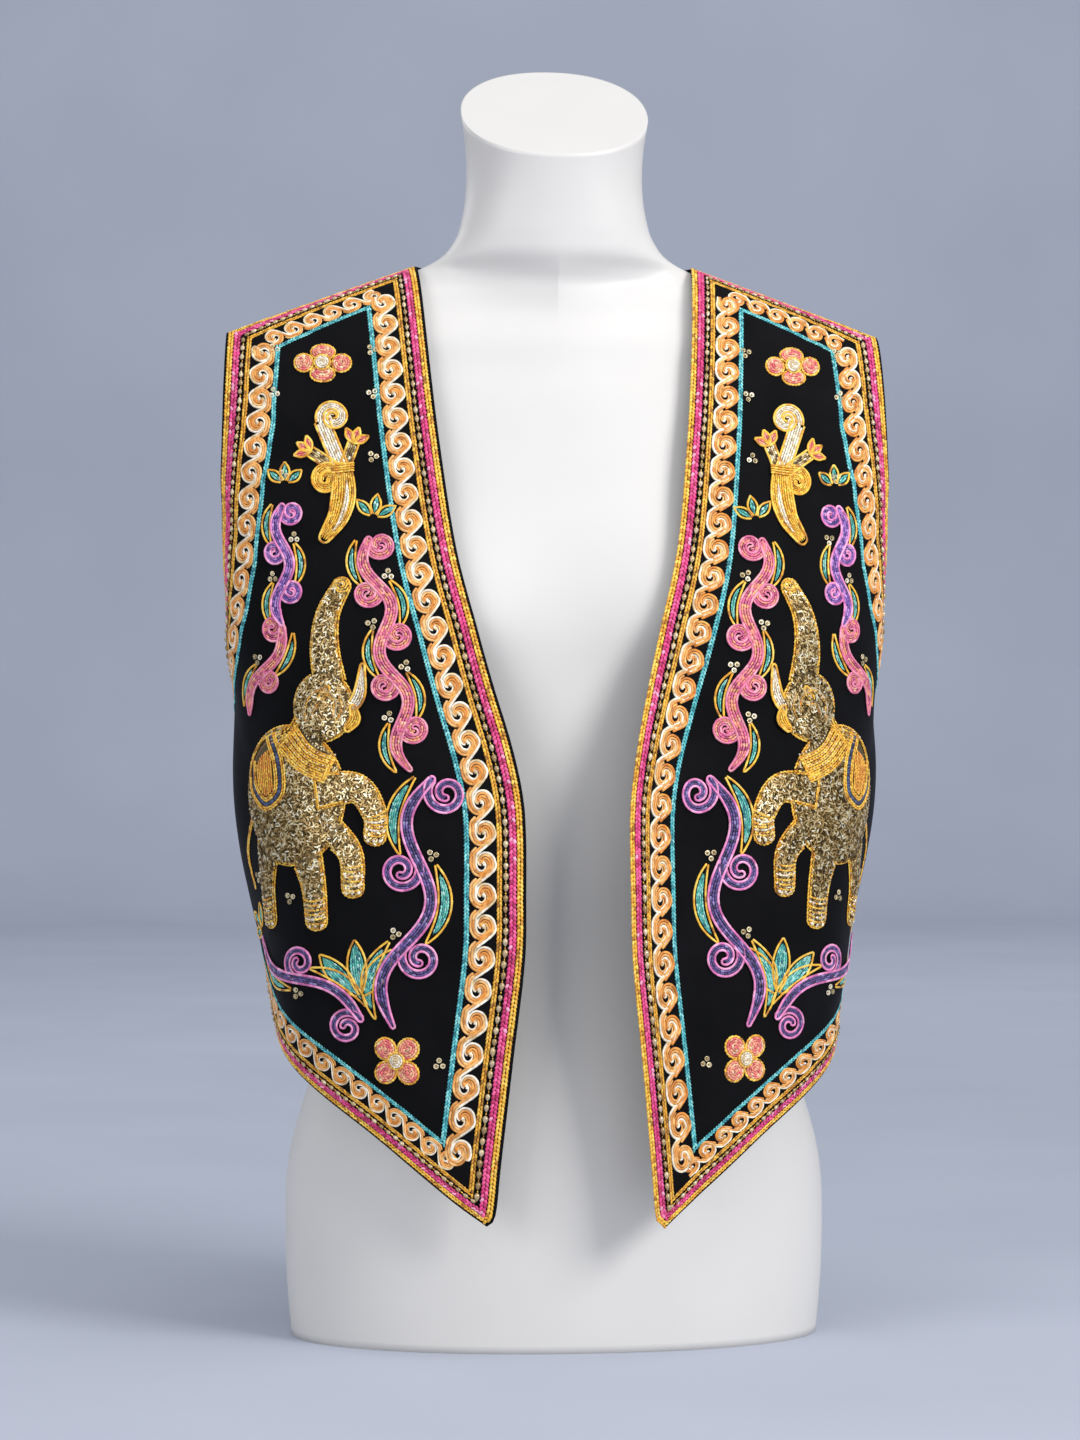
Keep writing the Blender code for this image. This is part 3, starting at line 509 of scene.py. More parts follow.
BEAD = shades(("B9A37B", 4), ("CDBB98", 3), ("9A8158", 2))
NAVY = shades(("3C4A6C", 4), ("55658A", 2), ("26304C", 3))
SADDLE = shades(("F0B440", 4), ("E89A38", 3), ("D98430", 1))
SEQUIN_GILT = shades(("D8C8A2", 4), ("B6A47C", 3), ("EEE4CA", 2))


def new_material(name):
    material = bpy.data.materials.new(name)
    material.use_nodes = True
    nodes, links = material.node_tree.nodes, material.node_tree.links
    return material, nodes, links, nodes["Principled BSDF"]


def add_noise(nodes, links, scale, detail=2.0, vector=None):
    noise = nodes.new("ShaderNodeTexNoise")
    noise.inputs["Scale"].default_value = scale
    noise.inputs["Detail"].default_value = detail
    if vector:
        links.new(vector, noise.inputs["Vector"])
    return noise.outputs["Fac"]


def add_ramp(nodes, links, fac, low, high, start=0.3, end=0.7):
    """A colour ramp from low to high over a factor."""
    ramp = nodes.new("ShaderNodeValToRGB")
    ramp.color_ramp.elements[0].position = start
    ramp.color_ramp.elements[1].position = end
    ramp.color_ramp.elements[0].color = (*low, 1)
    ramp.color_ramp.elements[1].color = (*high, 1)
    links.new(fac, ramp.inputs["Fac"])
    return ramp.outputs["Color"]


def add_bump(nodes, links, shader, height, strength, distance):
    bump = nodes.new("ShaderNodeBump")
    bump.inputs["Strength"].default_value = strength
    bump.inputs["Distance"].default_value = distance
    links.new(height, bump.inputs["Height"])
    links.new(bump.outputs["Normal"], shader.inputs["Normal"])


def thread_material(name, roughness, metallic, sheen, grain):
    """Stitched thread: each stitch's own tint, a little mottled, with fine plies."""
    material, nodes, links, shader = new_material(name)
    tint = nodes.new("ShaderNodeAttribute")
    tint.attribute_name = "tint"
    where = nodes.new("ShaderNodeTexCoord").outputs["Object"]
    mottle = add_noise(nodes, links, 420.0, 2.0, where)
    dark = add_ramp(nodes, links, mottle, (0.86, 0.84, 0.82), (1.15, 1.15, 1.15), 0.30, 0.60)
    mix = nodes.new("ShaderNodeMix")
    mix.data_type = "RGBA"
    mix.blend_type = "MULTIPLY"
    mix.inputs["Factor"].default_value = 1.0
    links.new(tint.outputs["Color"], mix.inputs["A"])
    links.new(dark, mix.inputs["B"])
    links.new(mix.outputs["Result"], shader.inputs["Base Color"])
    shader.inputs["Roughness"].default_value = roughness
    shader.inputs["Metallic"].default_value = metallic
    shader.inputs["Sheen Weight"].default_value = sheen
    shader.inputs["Sheen Roughness"].default_value = 0.4
    plies = add_noise(nodes, links, grain, 1.0, where)
    add_bump(nodes, links, shader, plies, 0.14, 0.0003)
    return material


def velvet_material():
    """Short black pile, brushed a little greyer in places."""
    material, nodes, links, shader = new_material("black_velvet_pile")
    where = nodes.new("ShaderNodeTexCoord").outputs["Object"]
    brushed = add_noise(nodes, links, 26.0, 4.0, where)
    colour = add_ramp(nodes, links, brushed, (0.0012, 0.0012, 0.0016), (0.0040, 0.0038, 0.0050), 0.35, 0.75)
    links.new(colour, shader.inputs["Base Color"])
    shader.inputs["Roughness"].default_value = 0.85
    shader.inputs["Specular IOR Level"].default_value = 0.12
    shader.inputs["Sheen Weight"].default_value = 0.09
    shader.inputs["Sheen Roughness"].default_value = 0.35
    shader.inputs["Sheen Tint"].default_value = (0.55, 0.58, 0.75, 1)
    pile = add_noise(nodes, links, 1600.0, 2.0, where)
    add_bump(nodes, links, shader, pile, 0.30, 0.0004)
    return material


def form_material():
    """Satin white moulded shell with the faintest unevenness."""
    material, nodes, links, shader = new_material("satin_white_form")
    where = nodes.new("ShaderNodeTexCoord").outputs["Object"]
    cloud = add_noise(nodes, links, 7.0, 3.0, where)
    colour = add_ramp(nodes, links, cloud, (0.70, 0.674, 0.640), (0.75, 0.724, 0.690), 0.3, 0.7)
    links.new(colour, shader.inputs["Base Color"])
    rough = nodes.new("ShaderNodeMapRange")
    rough.inputs["To Min"].default_value = 0.36
    rough.inputs["To Max"].default_value = 0.46
    links.new(add_noise(nodes, links, 60.0, 3.0, where), rough.inputs["Value"])
    links.new(rough.outputs["Result"], shader.inputs["Roughness"])
    skin = add_noise(nodes, links, 900.0, 2.0, where)
    add_bump(nodes, links, shader, skin, 0.05, 0.0003)
    return material


def stage_material():
    material, nodes, links, shader = new_material("studio_paper")
    where = nodes.new("ShaderNodeTexCoord").outputs["Object"]
    cloud = add_noise(nodes, links, 3.0, 2.0, where)
    colour = add_ramp(nodes, links, cloud, (0.49, 0.52, 0.60), (0.52, 0.55, 0.63), 0.3, 0.7)
    links.new(colour, shader.inputs["Base Color"])
    shader.inputs["Roughness"].default_value = 0.9
    shader.inputs["Specular IOR Level"].default_value = 0.1
    return material


THREAD = thread_material("satin_thread", 0.46, 0.0, 0.15, 2600.0)
GILT = thread_material("gilt_thread", 0.42, 0.10, 0.05, 2600.0)
PURL = thread_material("metal_purl", 0.36, 0.72, 0.0, 3200.0)
GLAZED = thread_material("glazed_beads", 0.26, 0.35, 0.0, 900.0)
VELVET = velvet_material()
SHELL = form_material()
PAPER = stage_material()


# ---------------------------------------------------------------- meshes

def make_mesh(name, verts, faces, material, tints=None, smooth=True):
    """A piece from its points and a list of index arrays, each with a row for each face."""
    mesh = bpy.data.meshes.new(name)
    mesh.vertices.add(len(verts))
    mesh.vertices.foreach_set("co", np.ascontiguousarray(verts, dtype=np.float32).ravel())
    sizes = np.concatenate([np.full(len(rows), rows.shape[1]) for rows in faces])
    corners = np.concatenate([rows.ravel() for rows in faces]).astype(np.int32)
    mesh.loops.add(len(corners))
    mesh.loops.foreach_set("vertex_index", corners)
    mesh.polygons.add(len(sizes))
    starts = np.concatenate([[0], np.cumsum(sizes)[:-1]]).astype(np.int32)
    mesh.polygons.foreach_set("loop_start", starts)
    mesh.polygons.foreach_set("use_smooth", np.full(len(sizes), smooth))
    mesh.update(calc_edges=True)
    if tints is not None:
        colour = mesh.color_attributes.new(name="tint", type="FLOAT_COLOR", domain="POINT")
        rgba = np.concatenate([np.clip(tints, 0, 1), np.ones((len(tints), 1))], axis=1)
        colour.data.foreach_set("color", rgba.astype(np.float32).ravel())
    mesh.materials.append(material)
    piece = bpy.data.objects.new(name, mesh)
    bpy.context.scene.collection.objects.link(piece)
    return piece


def dress(piece, slot, *nodes):
    """Rides the piece on the part and hides the solids it stands for; the finish it is given (slot) is not
    used.
    """
    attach(piece, "root")
    if nodes:
        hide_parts(*nodes)
    return piece


def grid_faces(rows, columns, first=0, wrap=False):
    """Quads of a grid of points, row by row."""
    index = first + np.arange(rows * columns).reshape(rows, columns)
    if wrap:
        index = np.concatenate([index, index[:, :1]], axis=1)
    return np.stack([index[:-1, :-1], index[:-1, 1:], index[1:, 1:], index[1:, :-1]], -1).reshape(-1, 4)


# A stitch or bead is rings of points between two end points
def capsule_faces(rings, sides):
    ring = [1 + np.arange(sides) + sides * number for number in range(rings)]
    last = 1 + rings * sides
    start = np.stack([np.zeros(sides, int), np.roll(ring[0], -1), ring[0]], 1)
    end = np.stack([np.full(sides, last), ring[-1], np.roll(ring[-1], -1)], 1)
    quads = [np.stack([a, np.roll(a, -1), np.roll(b, -1), b], 1) for a, b in zip(ring, ring[1:])]
    return np.concatenate([start, end]), np.concatenate(quads)


# A stitch is flat below and rounded off above
STITCH_SECTION = np.radians((-30, 50, 130, 210))
CORD_SECTION = np.radians((-25, 45, 90, 135, 205))
END_POINTS = 5
STITCH_PITCH = 0.0023
STITCH_LOOK = 0.0004         # how far ahead and behind a stitch looks for its way
STITCH_OVERLAP = 1.35        # a stitch's length over its pitch
STITCH_HEIGHT = 0.55         # a stitch's height over its width
THINNEST_STITCH, NARROWEST_STITCH = 0.0006, 0.0004

# How unevenly a hand sews: the spread of a stitch's turn, width, rise and tint
HAND = {"turn": 0.06, "width": 0.06, "rise": 0.00004, "tint": 0.08, "most_tint": 0.2}

# A couched cord: its step, its widths between ties and at them, and its section over its width
CORD = {"step": 0.0013, "every": 3, "full": 1.03, "tied": 0.94, "rise": 0.14, "across": 0.56, "tall": 0.33,
        "tip": 0.4}
BAND = {"step": 0.0010, "thread": 0.00155, "outline": 0.0015, "outline_above": 0.0002, "least_rim": 0.0002,
        "inside": 0.95, "bare_inside": 0.1, "fullness": 1.06, "lean": 5}
# Ring stations as shares of the length, with their share of the width
STITCH_RINGS = ((0.20, 1.0), (0.80, 1.0))
BIT_RINGS = ((0.08, 1.0), (0.92, 1.0))
DROP_RINGS = ((0.08, 0.55), (0.28, 1.0), (0.55, 0.92), (0.82, 0.42))
SEED_RINGS = ((0.12, 0.66), (0.50, 1.0), (0.88, 0.66))


def round_end(middle, ahead, beside, radius):
    """Points round the end of a band, from its left side to its right."""
    turns = np.linspace(0, pi, END_POINTS + 2)[1:-1]
    return np.array([middle + radius * (beside * cos(turn) + ahead * sin(turn)) for turn in turns])


class Work:
    """Stitches and beads gathered for one piece on a front."""

    def __init__(self, field, seed):
        self.field = field
        self.random = np.random.default_rng(seed)
        self.verts, self.triangles, self.quads, self.tints = [], [], [], []
        self.count = 0

    def pick(self, palette, count):
        colours, weights = palette
        tints = colours[self.random.choice(len(colours), count, p=weights)]
        uneven = HAND["tint"] * self.random.standard_normal(count)
        uneven = uneven.clip(-HAND["most_tint"], HAND["most_tint"])
        return tints * (1 + uneven[:, None])

    def add(self, verts, triangles, quads, tints):
        """verts[unit, point]; the faces are one unit's. tints has one colour for a unit or for a point."""
        units, points = verts.shape[:2]
        base = self.count + points * np.arange(units)[:, None, None]
        self.verts.append(verts.reshape(-1, 3))
        self.triangles.append((base + triangles[None]).reshape(-1, 3))
        self.quads.append((base + quads[None]).reshape(-1, 4))
        self.tints.append(tints.reshape(-1, 3) if tints.ndim == 3 else np.repeat(tints, points, axis=0))
        self.count += units * points

    def capsules(self, a, b, width, height, lift, tints, rings=STITCH_RINGS, sides=4, sunk=0.25):
        """Rounded bodies laid on the cloth from the pattern points a to b."""
        count = len(a)
        width = np.broadcast_to(width, count)[:, None]
        height = np.broadcast_to(height, count)[:, None]
        lift = np.broadcast_to(lift, count)
        start, out = self.field.place(a, lift)
        end = self.field.place(b, lift)[0]
        way = end - start
        side = unit(np.cross(out, way))
        angle = STITCH_SECTION if sides == 4 else 2 * pi * np.arange(sides) / sides
        middle = out * height * (0.5 - sunk)
        points = [start + middle]
        for share, wide in rings:
            for turn in angle:
                points.append(start + middle + way * share + side * (width / 2 * wide * cos(turn))
                              + out * (height / 2 * wide * sin(turn)))
        points.append(end + middle)
        triangles, quads = capsule_faces(len(rings), sides)
        self.add(np.stack(points, 1), triangles, quads, tints)

    def strand(self, path, palette, width, pitch=STITCH_PITCH, lift=0.0, above=0.0, lean=0.0, shift=0.5):
        """A row of stitches along a path. width may be one size or sizes spread along it."""
        total = lengths(path)[-1]
        count = max(int(round(total / pitch)), 1)
        at = (np.arange(count) + shift) % count * total / count
        middle = at_lengths(path, at)
        ahead, behind = np.minimum(at + STITCH_LOOK, total), np.maximum(at - STITCH_LOOK, 0)
        way = unit(at_lengths(path, ahead) - at_lengths(path, behind))
        turn = radians(lean) + HAND["turn"] * self.random.standard_normal(count)
        half = turned(way, turn) * (total / count * STITCH_OVERLAP / 2)
        if np.ndim(width):
            width = np.interp(at / total, np.linspace(0, 1, len(width)), width)
        width = width * (1 + HAND["width"] * self.random.standard_normal(count))
        tall = np.maximum(width * STITCH_HEIGHT, THINNEST_STITCH)
        kept = width > NARROWEST_STITCH
        if kept.any():
            rise = lift(middle) if callable(lift) else lift
            rise = WALL + rise + above + HAND["rise"] * self.random.standard_normal(count)
            self.capsules((middle - half)[kept], (middle + half)[kept], width[kept], tall[kept], rise[kept],
                          self.pick(palette, count)[kept])

    def cord(self, path, palette, width, lift=0.0, above=0.0):
        """One unbroken couched cord, drawn in a little at each tie, its tint changing along it."""
        fine = stepped(path, CORD["step"])
        count, every = len(fine), CORD["every"]
        if np.ndim(width):
            width = np.interp(lengths(fine) / lengths(fine)[-1], np.linspace(0, 1, len(width)), width)
        width = np.broadcast_to(width, count) * np.where(np.arange(count) % every, CORD["full"], CORD["tied"])
        rise = lift(fine) if callable(lift) else lift
        centre, out = self.field.place(fine, WALL + rise + above + width * CORD["rise"])
        way = ways(centre)
        side = np.cross(out, way)
        rings = []
        for turn in CORD_SECTION:
            across, up = width * CORD["across"] * cos(turn), width * CORD["tall"] * sin(turn)
            rings.append(centre + side * across[:, None] + out * up[:, None])
        tip = width[:, None] * way * CORD["tip"]
        verts = np.vstack([centre[:1] - tip[:1], np.stack(rings, 1).reshape(-1, 3), centre[-1:] + tip[-1:]])
        tints = np.repeat(self.pick(palette, count // every + 1), every, axis=0)[:count]
        tints = np.repeat(tints, len(CORD_SECTION), axis=0)
        triangles, quads = capsule_faces(count, len(CORD_SECTION))
        self.add(verts[None], triangles, quads, np.vstack([tints[:1], tints, tints[-1:]])[None])

    def band(self, path, half, fill, outline, lift=0.0, thread=BAND["thread"], pitch=STITCH_PITCH,
             caps=(0, 0), bare=False):
        """A couched band: rows of fill inside an outline. half is its half width at each point of the path.

        caps says whether its start and its end are rounded. bare says that the rows reach to its edges.
        """
        fine = stepped(path, BAND["step"])
        share = lengths(fine) / lengths(fine)[-1]
        half = np.interp(share, lengths(path) / lengths(path)[-1], np.broadcast_to(half, len(path)))
        way = ways(fine)
        rim = np.maximum(half - BAND["outline"] / 2, BAND["least_rim"])
        left, right = fine + left_of(way) * rim[:, None], fine - left_of(way) * rim[:, None]
        lines = [left, right]
        if caps[1]:
            lines = [np.vstack([left, round_end(fine[-1], way[-1], left_of(way[-1]), rim[-1]), right[::-1]])]
            if caps[0]:
                start = round_end(fine[0], -way[0], left_of(way[0]), rim[0])
                lines = [np.vstack([lines[0], start[::-1], left[:1]])]
        if outline is not None:
            for line in lines:
                self.cord(line, outline, BAND["outline"], lift=lift, above=BAND["outline_above"])
        inner = half - BAND["outline"] * (BAND["bare_inside"] if bare else BAND["inside"])
        wide = np.maximum(2 * inner, 0)
        rows = max(int(round(wide.max() / thread)), 1)
        for row in range(rows):
            across = inner - (row + 0.5) / rows * wide
            line = fine + left_of(way) * across[:, None]
            self.strand(line, fill, wide / rows * BAND["fullness"], pitch=pitch, lift=lift,
                        shift=0.5 * (row % 2), lean=BAND["lean"] if row % 2 else -BAND["lean"])

    def finish(self, name, material, slot, *nodes):
        faces = [np.concatenate(self.triangles), np.concatenate(self.quads)]
        piece = make_mesh(name, np.concatenate(self.verts), faces, material, np.concatenate(self.tints),
                          smooth=material is not PURL)
        return dress(piece, slot, *nodes)


# ---------------------------------------------------------------- velvet and form

FRONT_GRID = {"rows": 150, "columns": 62, "split_h": -0.035, "skipped": 6}
BACK_GRID = {"rows": 120, "columns": 71, "seam_share": 2 / 5, "neck_share": 2 / 3}
RIM_SHARES = (0.0, 0.16, 0.5, 0.84, 1.0)      # stations through the wall
RIM_INSETS = (0.0006, 0.00015, 0.0, 0.00015, 0.0006)


def inset_grid(grid, inset):
    """The grid's outermost points moved in by an inset."""
    moved = grid.copy()
    for edge, inner in ((0, 1), (-1, -2)):
        moved[edge] += unit(grid[inner] - grid[edge]) * inset
        moved[:, edge] += unit(grid[:, inner] - grid[:, edge]) * inset
    return moved


def rim_loop(grid):
    """The grid's outermost points in order round it."""
    return np.concatenate([grid[0, :-1], grid[:-1, -1], grid[-1, :0:-1], grid[:0:-1, 0]])


def shell(name, layers, slot, node):
    """A closed sheet from grids of world points, one for each station through the wall."""
    rows, columns = layers[0].shape[:2]
    index = np.arange(rows * columns).reshape(rows, columns)
    inner, outer = layers[0].reshape(-1, 3), layers[-1].reshape(-1, 3)
    verts = [inner, outer]
    faces = [grid_faces(rows, columns)[:, ::-1], grid_faces(rows, columns, rows * columns)]
    loop = rim_loop(index)
    rings = [loop]
    first = 2 * rows * columns
    for layer in layers[1:-1]:
        places = rim_loop(layer)
        verts.append(places)
        rings.append(first + np.arange(len(places)))
        first += len(places)
    rings.append(loop + rows * columns)
    for a, b in zip(rings, rings[1:]):
        faces.append(np.stack([a, np.roll(a, -1), np.roll(b, -1), b], 1))
    piece = make_mesh(name, np.concatenate(verts), faces, VELVET)
    return dress(piece, slot, node)


def front_pattern(extra):
    edges = front_edges(extra)
    rows, columns = FRONT_GRID["rows"], FRONT_GRID["columns"]
    seam = np.array([edges["hem"][-1], edges["armhole"][0]])
    half = rows // 2
    right = np.vstack([spread(seam, half)[:-1], spread(edges["armhole"], rows - half + 1)])
    skipped = FRONT_GRID["skipped"]
    split = int(np.searchsorted(edges["front"][skipped:, 1], FRONT_GRID["split_h"])) + skipped
    low, high = edges["front"][:split + 1], edges["front"][split:]
    left = np.vstack([spread(low, half)[:-1], spread(high, rows - half + 1)])
    return coons(left, right, spread(edges["hem"], columns), spread(edges["shoulder"], columns))


def world(grid, lift, back=False, turn=0.0, mirror=1):
    where, out = surface(grid[..., 0], grid[..., 1], back, turn)
    return (where + out * lift) * (mirror, 1, 1)


def twice_area(outline):
    """Twice a closed outline's area, more than nothing when its inside is on the left."""
    s, h = outline.T
    return float(np.sum(s * np.roll(h, -1) - h * np.roll(s, -1)))


def make_front(name, mirror, turn, extra):
    grid = front_pattern(extra)
    layers = [world(inset_grid(grid, inset), WALL * share, turn=turn, mirror=mirror)
              for share, inset in zip(RIM_SHARES, RIM_INSETS)]
    if mirror < 0:
        layers = [layer[:, ::-1] for layer in layers]
    piece = shell("velvet_front_" + name, layers, "black_velvet", "front_" + name)
    return piece


def neck_height(s):
    """The back neckline: a scoop between the two neck points."""
    share = np.clip((GIRTH - np.asarray(s, float)) / NECK_X, 0, 1)
    level = ridge_h(GIRTH - NECK_X, True)[0] - SEAM_GAP / 2
    return level - BACK_NECK_DROP * (1 - share ** 2) ** 0.5


def back_pattern():
    """The left half of the back, its last column on the centre line."""
    rows, half = BACK_GRID["rows"], BACK_GRID["columns"] // 2
    start = SEAM_S + SEAM_GAP / 2
    armhole = rounded(edge_points(ARMHOLE_EDGE, SEAM_S))
    reach = (GIRTH - TIP_S - start) / (SEAM_S - TIP_S)
    armhole[:, 0] = start + (SEAM_S - armhole[:, 0]) * reach
    armhole[-1, 1] = ridge_h(GIRTH - TIP_S, True)[0] - SEAM_GAP / 2
    seam = np.array([(start, HEM_EDGE[-1][1]), (start, ARMHOLE_EDGE[0][1])])
    low = round(rows * BACK_GRID["seam_share"])
    side = np.vstack([spread(seam, low)[:-1], spread(armhole, rows - low + 1)])
    side[:, 0] += GIRTH * (1 - drawn_in(np.clip(-side[:, 1], 0, None)))
    neck_at = round((half + 1) * BACK_GRID["neck_share"])
    shoulder_s = np.linspace(GIRTH - TIP_S, GIRTH - NECK_X, neck_at + 1)
    shoulder = np.stack([shoulder_s, ridge_h(shoulder_s, True) - SEAM_GAP / 2], 1)
    neck_s = np.linspace(GIRTH - NECK_X, GIRTH, half + 1 - neck_at)
    neck = np.stack([neck_s, neck_height(neck_s)], 1)
    hem = np.stack([np.linspace(side[0, 0], GIRTH, half + 1), np.full(half + 1, side[0, 1])], 1)
    top = np.vstack([shoulder, neck[1:]])
    share = (side[:, 1] - side[0, 1]) / (side[-1, 1] - side[0, 1])
    middle = np.stack([np.full(rows, GIRTH), hem[-1, 1] + share * (top[-1, 1] - hem[-1, 1])], 1)
    return coons(side, middle, hem, top)


def make_back():
    grid = back_pattern()
    layers = []
    for share, inset in zip(RIM_SHARES, RIM_INSETS):
        moved = inset_grid(grid, inset)
        moved[:, -1, 0] = grid[:, -1, 0]
        places = world(moved, WALL * share, back=True)
        places[:, -1, 0] = 0
        layers.append(np.concatenate([places, places[:, -2::-1] * (-1, 1, 1)], axis=1))
    piece = shell("velvet_back", layers, "black_velvet", "back")
    return piece


SHOULDER_CLEAR = 0.0009
RIDGE_SLOPE = (NECK_Z - TIP_Z) / (TIP_X - NECK_X)


def under_ridge(z):
    """The form's half width where it just clears the shoulder seam."""
    return NECK_X + (NECK_Z - SHOULDER_CLEAR - z) / RIDGE_SLOPE


# columns: z, half width, front, back, middle, tilt, side power, depth power
FORM = (
    (0.000, 0.165, 0.100, 0.112, 0.000, 0.000, 2.15, 2.15),
    (0.020, 0.167, 0.101, 0.114, 0.000, 0.000, 2.15, 2.15),
    (0.060, 0.169, 0.102, 0.117, 0.000, 0.000, 2.15, 2.15),
    (0.110, 0.167, 0.102, 0.113, 0.000, 0.000, 2.15, 2.15),
    (0.160, 0.153, 0.098, 0.098, 0.000, 0.000, 2.15, 2.15),
    (0.205, 0.134, 0.091, 0.083, 0.000, 0.000, 2.15, 2.15),
    (0.240, 0.126, 0.086, 0.077, 0.000, 0.000, 2.15, 2.15),
    (0.290, 0.131, 0.085, 0.080, 0.000, 0.000, 2.15, 2.15),
    (0.340, 0.142, 0.083, 0.086, 0.000, 0.000, 2.15, 2.15),
    (0.385, 0.150, 0.082, 0.091, 0.000, 0.000, 2.15, 2.15),
    (0.415, 0.154, 0.081, 0.093, 0.000, 0.000, 2.15, 2.15),
    (0.440, 0.156, 0.080, 0.094, 0.000, 0.000, 2.15, 2.15),
    (0.465, 0.157, 0.077, 0.094, 0.000, 0.000, 2.15, 2.15),
    (0.495, 0.160, 0.071, 0.092, 0.000, 0.000, 2.15, 2.15),
    (0.525, 0.164, 0.063, 0.088, 0.001, 0.000, 2.10, 2.15),
    (0.555, 0.169, 0.055, 0.082, 0.002, 0.000, 2.00, 2.10),
    (0.585, 0.175, 0.047, 0.074, 0.003, 0.000, 1.85, 2.05),
    (0.605, 0.178, 0.040, 0.067, 0.004, 0.000, 1.70, 2.00),
    (0.620, 0.177, 0.036, 0.060, 0.004, 0.000, 1.50, 1.95),
    (0.632, 0.169, 0.031, 0.055, 0.004, 0.000, 1.30, 1.85),
    (0.640, under_ridge(0.640), 0.028, 0.052, 0.004, 0.000, 1.15, 1.70),
    (0.650, under_ridge(0.650), 0.027, 0.050, 0.004, 0.000, 1.05, 1.50),
    (0.660, under_ridge(0.660), 0.028, 0.049, 0.004, 0.000, 1.05, 1.30),
    (0.6669, under_ridge(0.6669), 0.033, 0.050, 0.003, 0.000, 1.20, 1.35),
    (0.674, 0.0725, 0.0380, 0.051, 0.003, 0.000, 1.60, 1.80),
    (0.685, 0.0630, 0.0405, 0.053, 0.002, 0.000, 1.90, 2.05),
    (0.700, 0.0580, 0.0425, 0.055, 0.002, 0.040, 2.10, 2.15),
    (0.720, 0.0555, 0.0450, 0.056, 0.002, 0.170, 2.15, 2.15),
    (0.742, 0.0560, 0.0475, 0.056, 0.001, 0.380, 2.15, 2.15),
    (0.7655, 0.0590, 0.0500, 0.055, 0.000, 0.638, 2.15, 2.15),
)
FORM_SIDES = 128
FORM_BETWEEN = 4
FORM_CAP = (0.02, 0.5, 0.985)
BREAST = {"x": 0.072, "z": 0.447, "out": 0.012, "wide": 0.040, "above": 0.060, "below": 0.036}


def form_rows():
    """The table's rows with smooth ones put in between."""
    table = np.array(FORM)
    slope = np.gradient(table, table[:, 0], axis=0)
    rows = []
    for low, high, slope_low, slope_high in zip(table, table[1:], slope, slope[1:]):
        step = high[0] - low[0]
        for t in np.linspace(0, 1, FORM_BETWEEN, endpoint=False):
            rows.append(low * (1 + 2 * t) * (1 - t) ** 2 + high * t * t * (3 - 2 * t)
                        + step * (slope_low * t * (1 - t) ** 2 - slope_high * t * t * (1 - t)))
    return rows + [table[-1]]


def form_ring(z, half_width, front, back, middle, tilt, side_power, depth_power):
    turn = np.linspace(0, 2 * pi, FORM_SIDES, endpoint=False) + pi / FORM_SIDES
    sine, cosine = np.sin(turn), np.cos(turn)
    depth = np.where(cosine > 0, front + middle, back - middle)
    x = half_width * np.sign(sine) * np.abs(sine) ** (2 / side_power)
    y = middle - depth * np.sign(cosine) * np.abs(cosine) ** (2 / depth_power)
    tall = BREAST["above"] if z > BREAST["z"] else BREAST["below"]
    swell = np.exp(-((np.abs(x) - BREAST["x"]) / BREAST["wide"]) ** 2 - ((z - BREAST["z"]) / tall) ** 2)
    y = y - BREAST["out"] * swell * (cosine > 0)
    return np.stack([x, y, z + tilt * y], 1)


def make_form():
    rings = [form_ring(*row) for row in form_rows()]
    top, bottom = rings[-1], rings[0]
    caps = [bottom * (share, share, 1) for share in FORM_CAP]
    centre = top.mean(axis=0)
    rim = [centre + (top - centre) * share for share in FORM_CAP[::-1]]
    rings = np.stack(caps + rings + rim)
    rows = len(rings)
    faces = [grid_faces(rows, FORM_SIDES, wrap=True)]
    verts = np.concatenate([rings.reshape(-1, 3), [[0, 0, 0]], [centre]])
    near = np.arange(FORM_SIDES)
    last = (rows - 1) * FORM_SIDES + near
    low = np.stack([np.full(FORM_SIDES, rows * FORM_SIDES), np.roll(near, -1), near], 1)
    high = np.stack([np.full(FORM_SIDES, rows * FORM_SIDES + 1), last, np.roll(last, -1)], 1)
    piece = make_mesh("satin_form", verts, faces + [low, high], SHELL)
    return dress(piece, "form_satin", "dress_form")


# ---------------------------------------------------------------- the border

# Where each cord lies, as shares of the border's depth from the outside in
# columns: node, start, end, palette, lean, pitch, slot
CORDS = (
    ("edge_braid", 0.050, 0.150, GOLD, 14, 0.0024, "gold_braid"),
    ("magenta_braid", 0.158, 0.275, MAGENTA, 24, 0.0024, "magenta_braid"),
    ("inner_braid", 0.388, 0.475, INNER_GOLD, 10, 0.0024, "gold_braid"),
    ("turquoise_cord", 0.918, 1.000, TURQUOISE, 22, 0.0022, "turquoise_cord"),
)
CORD_STRANDS = 2
CORD_FULLNESS = 1.12
CORD_PITCH = {"least": 0.8, "more": 0.2, "width": 0.0018}

# One link of the running scroll, on unit circles: from the heart of one scroll out, across and into the next
PITCH_UNITS = 2.14
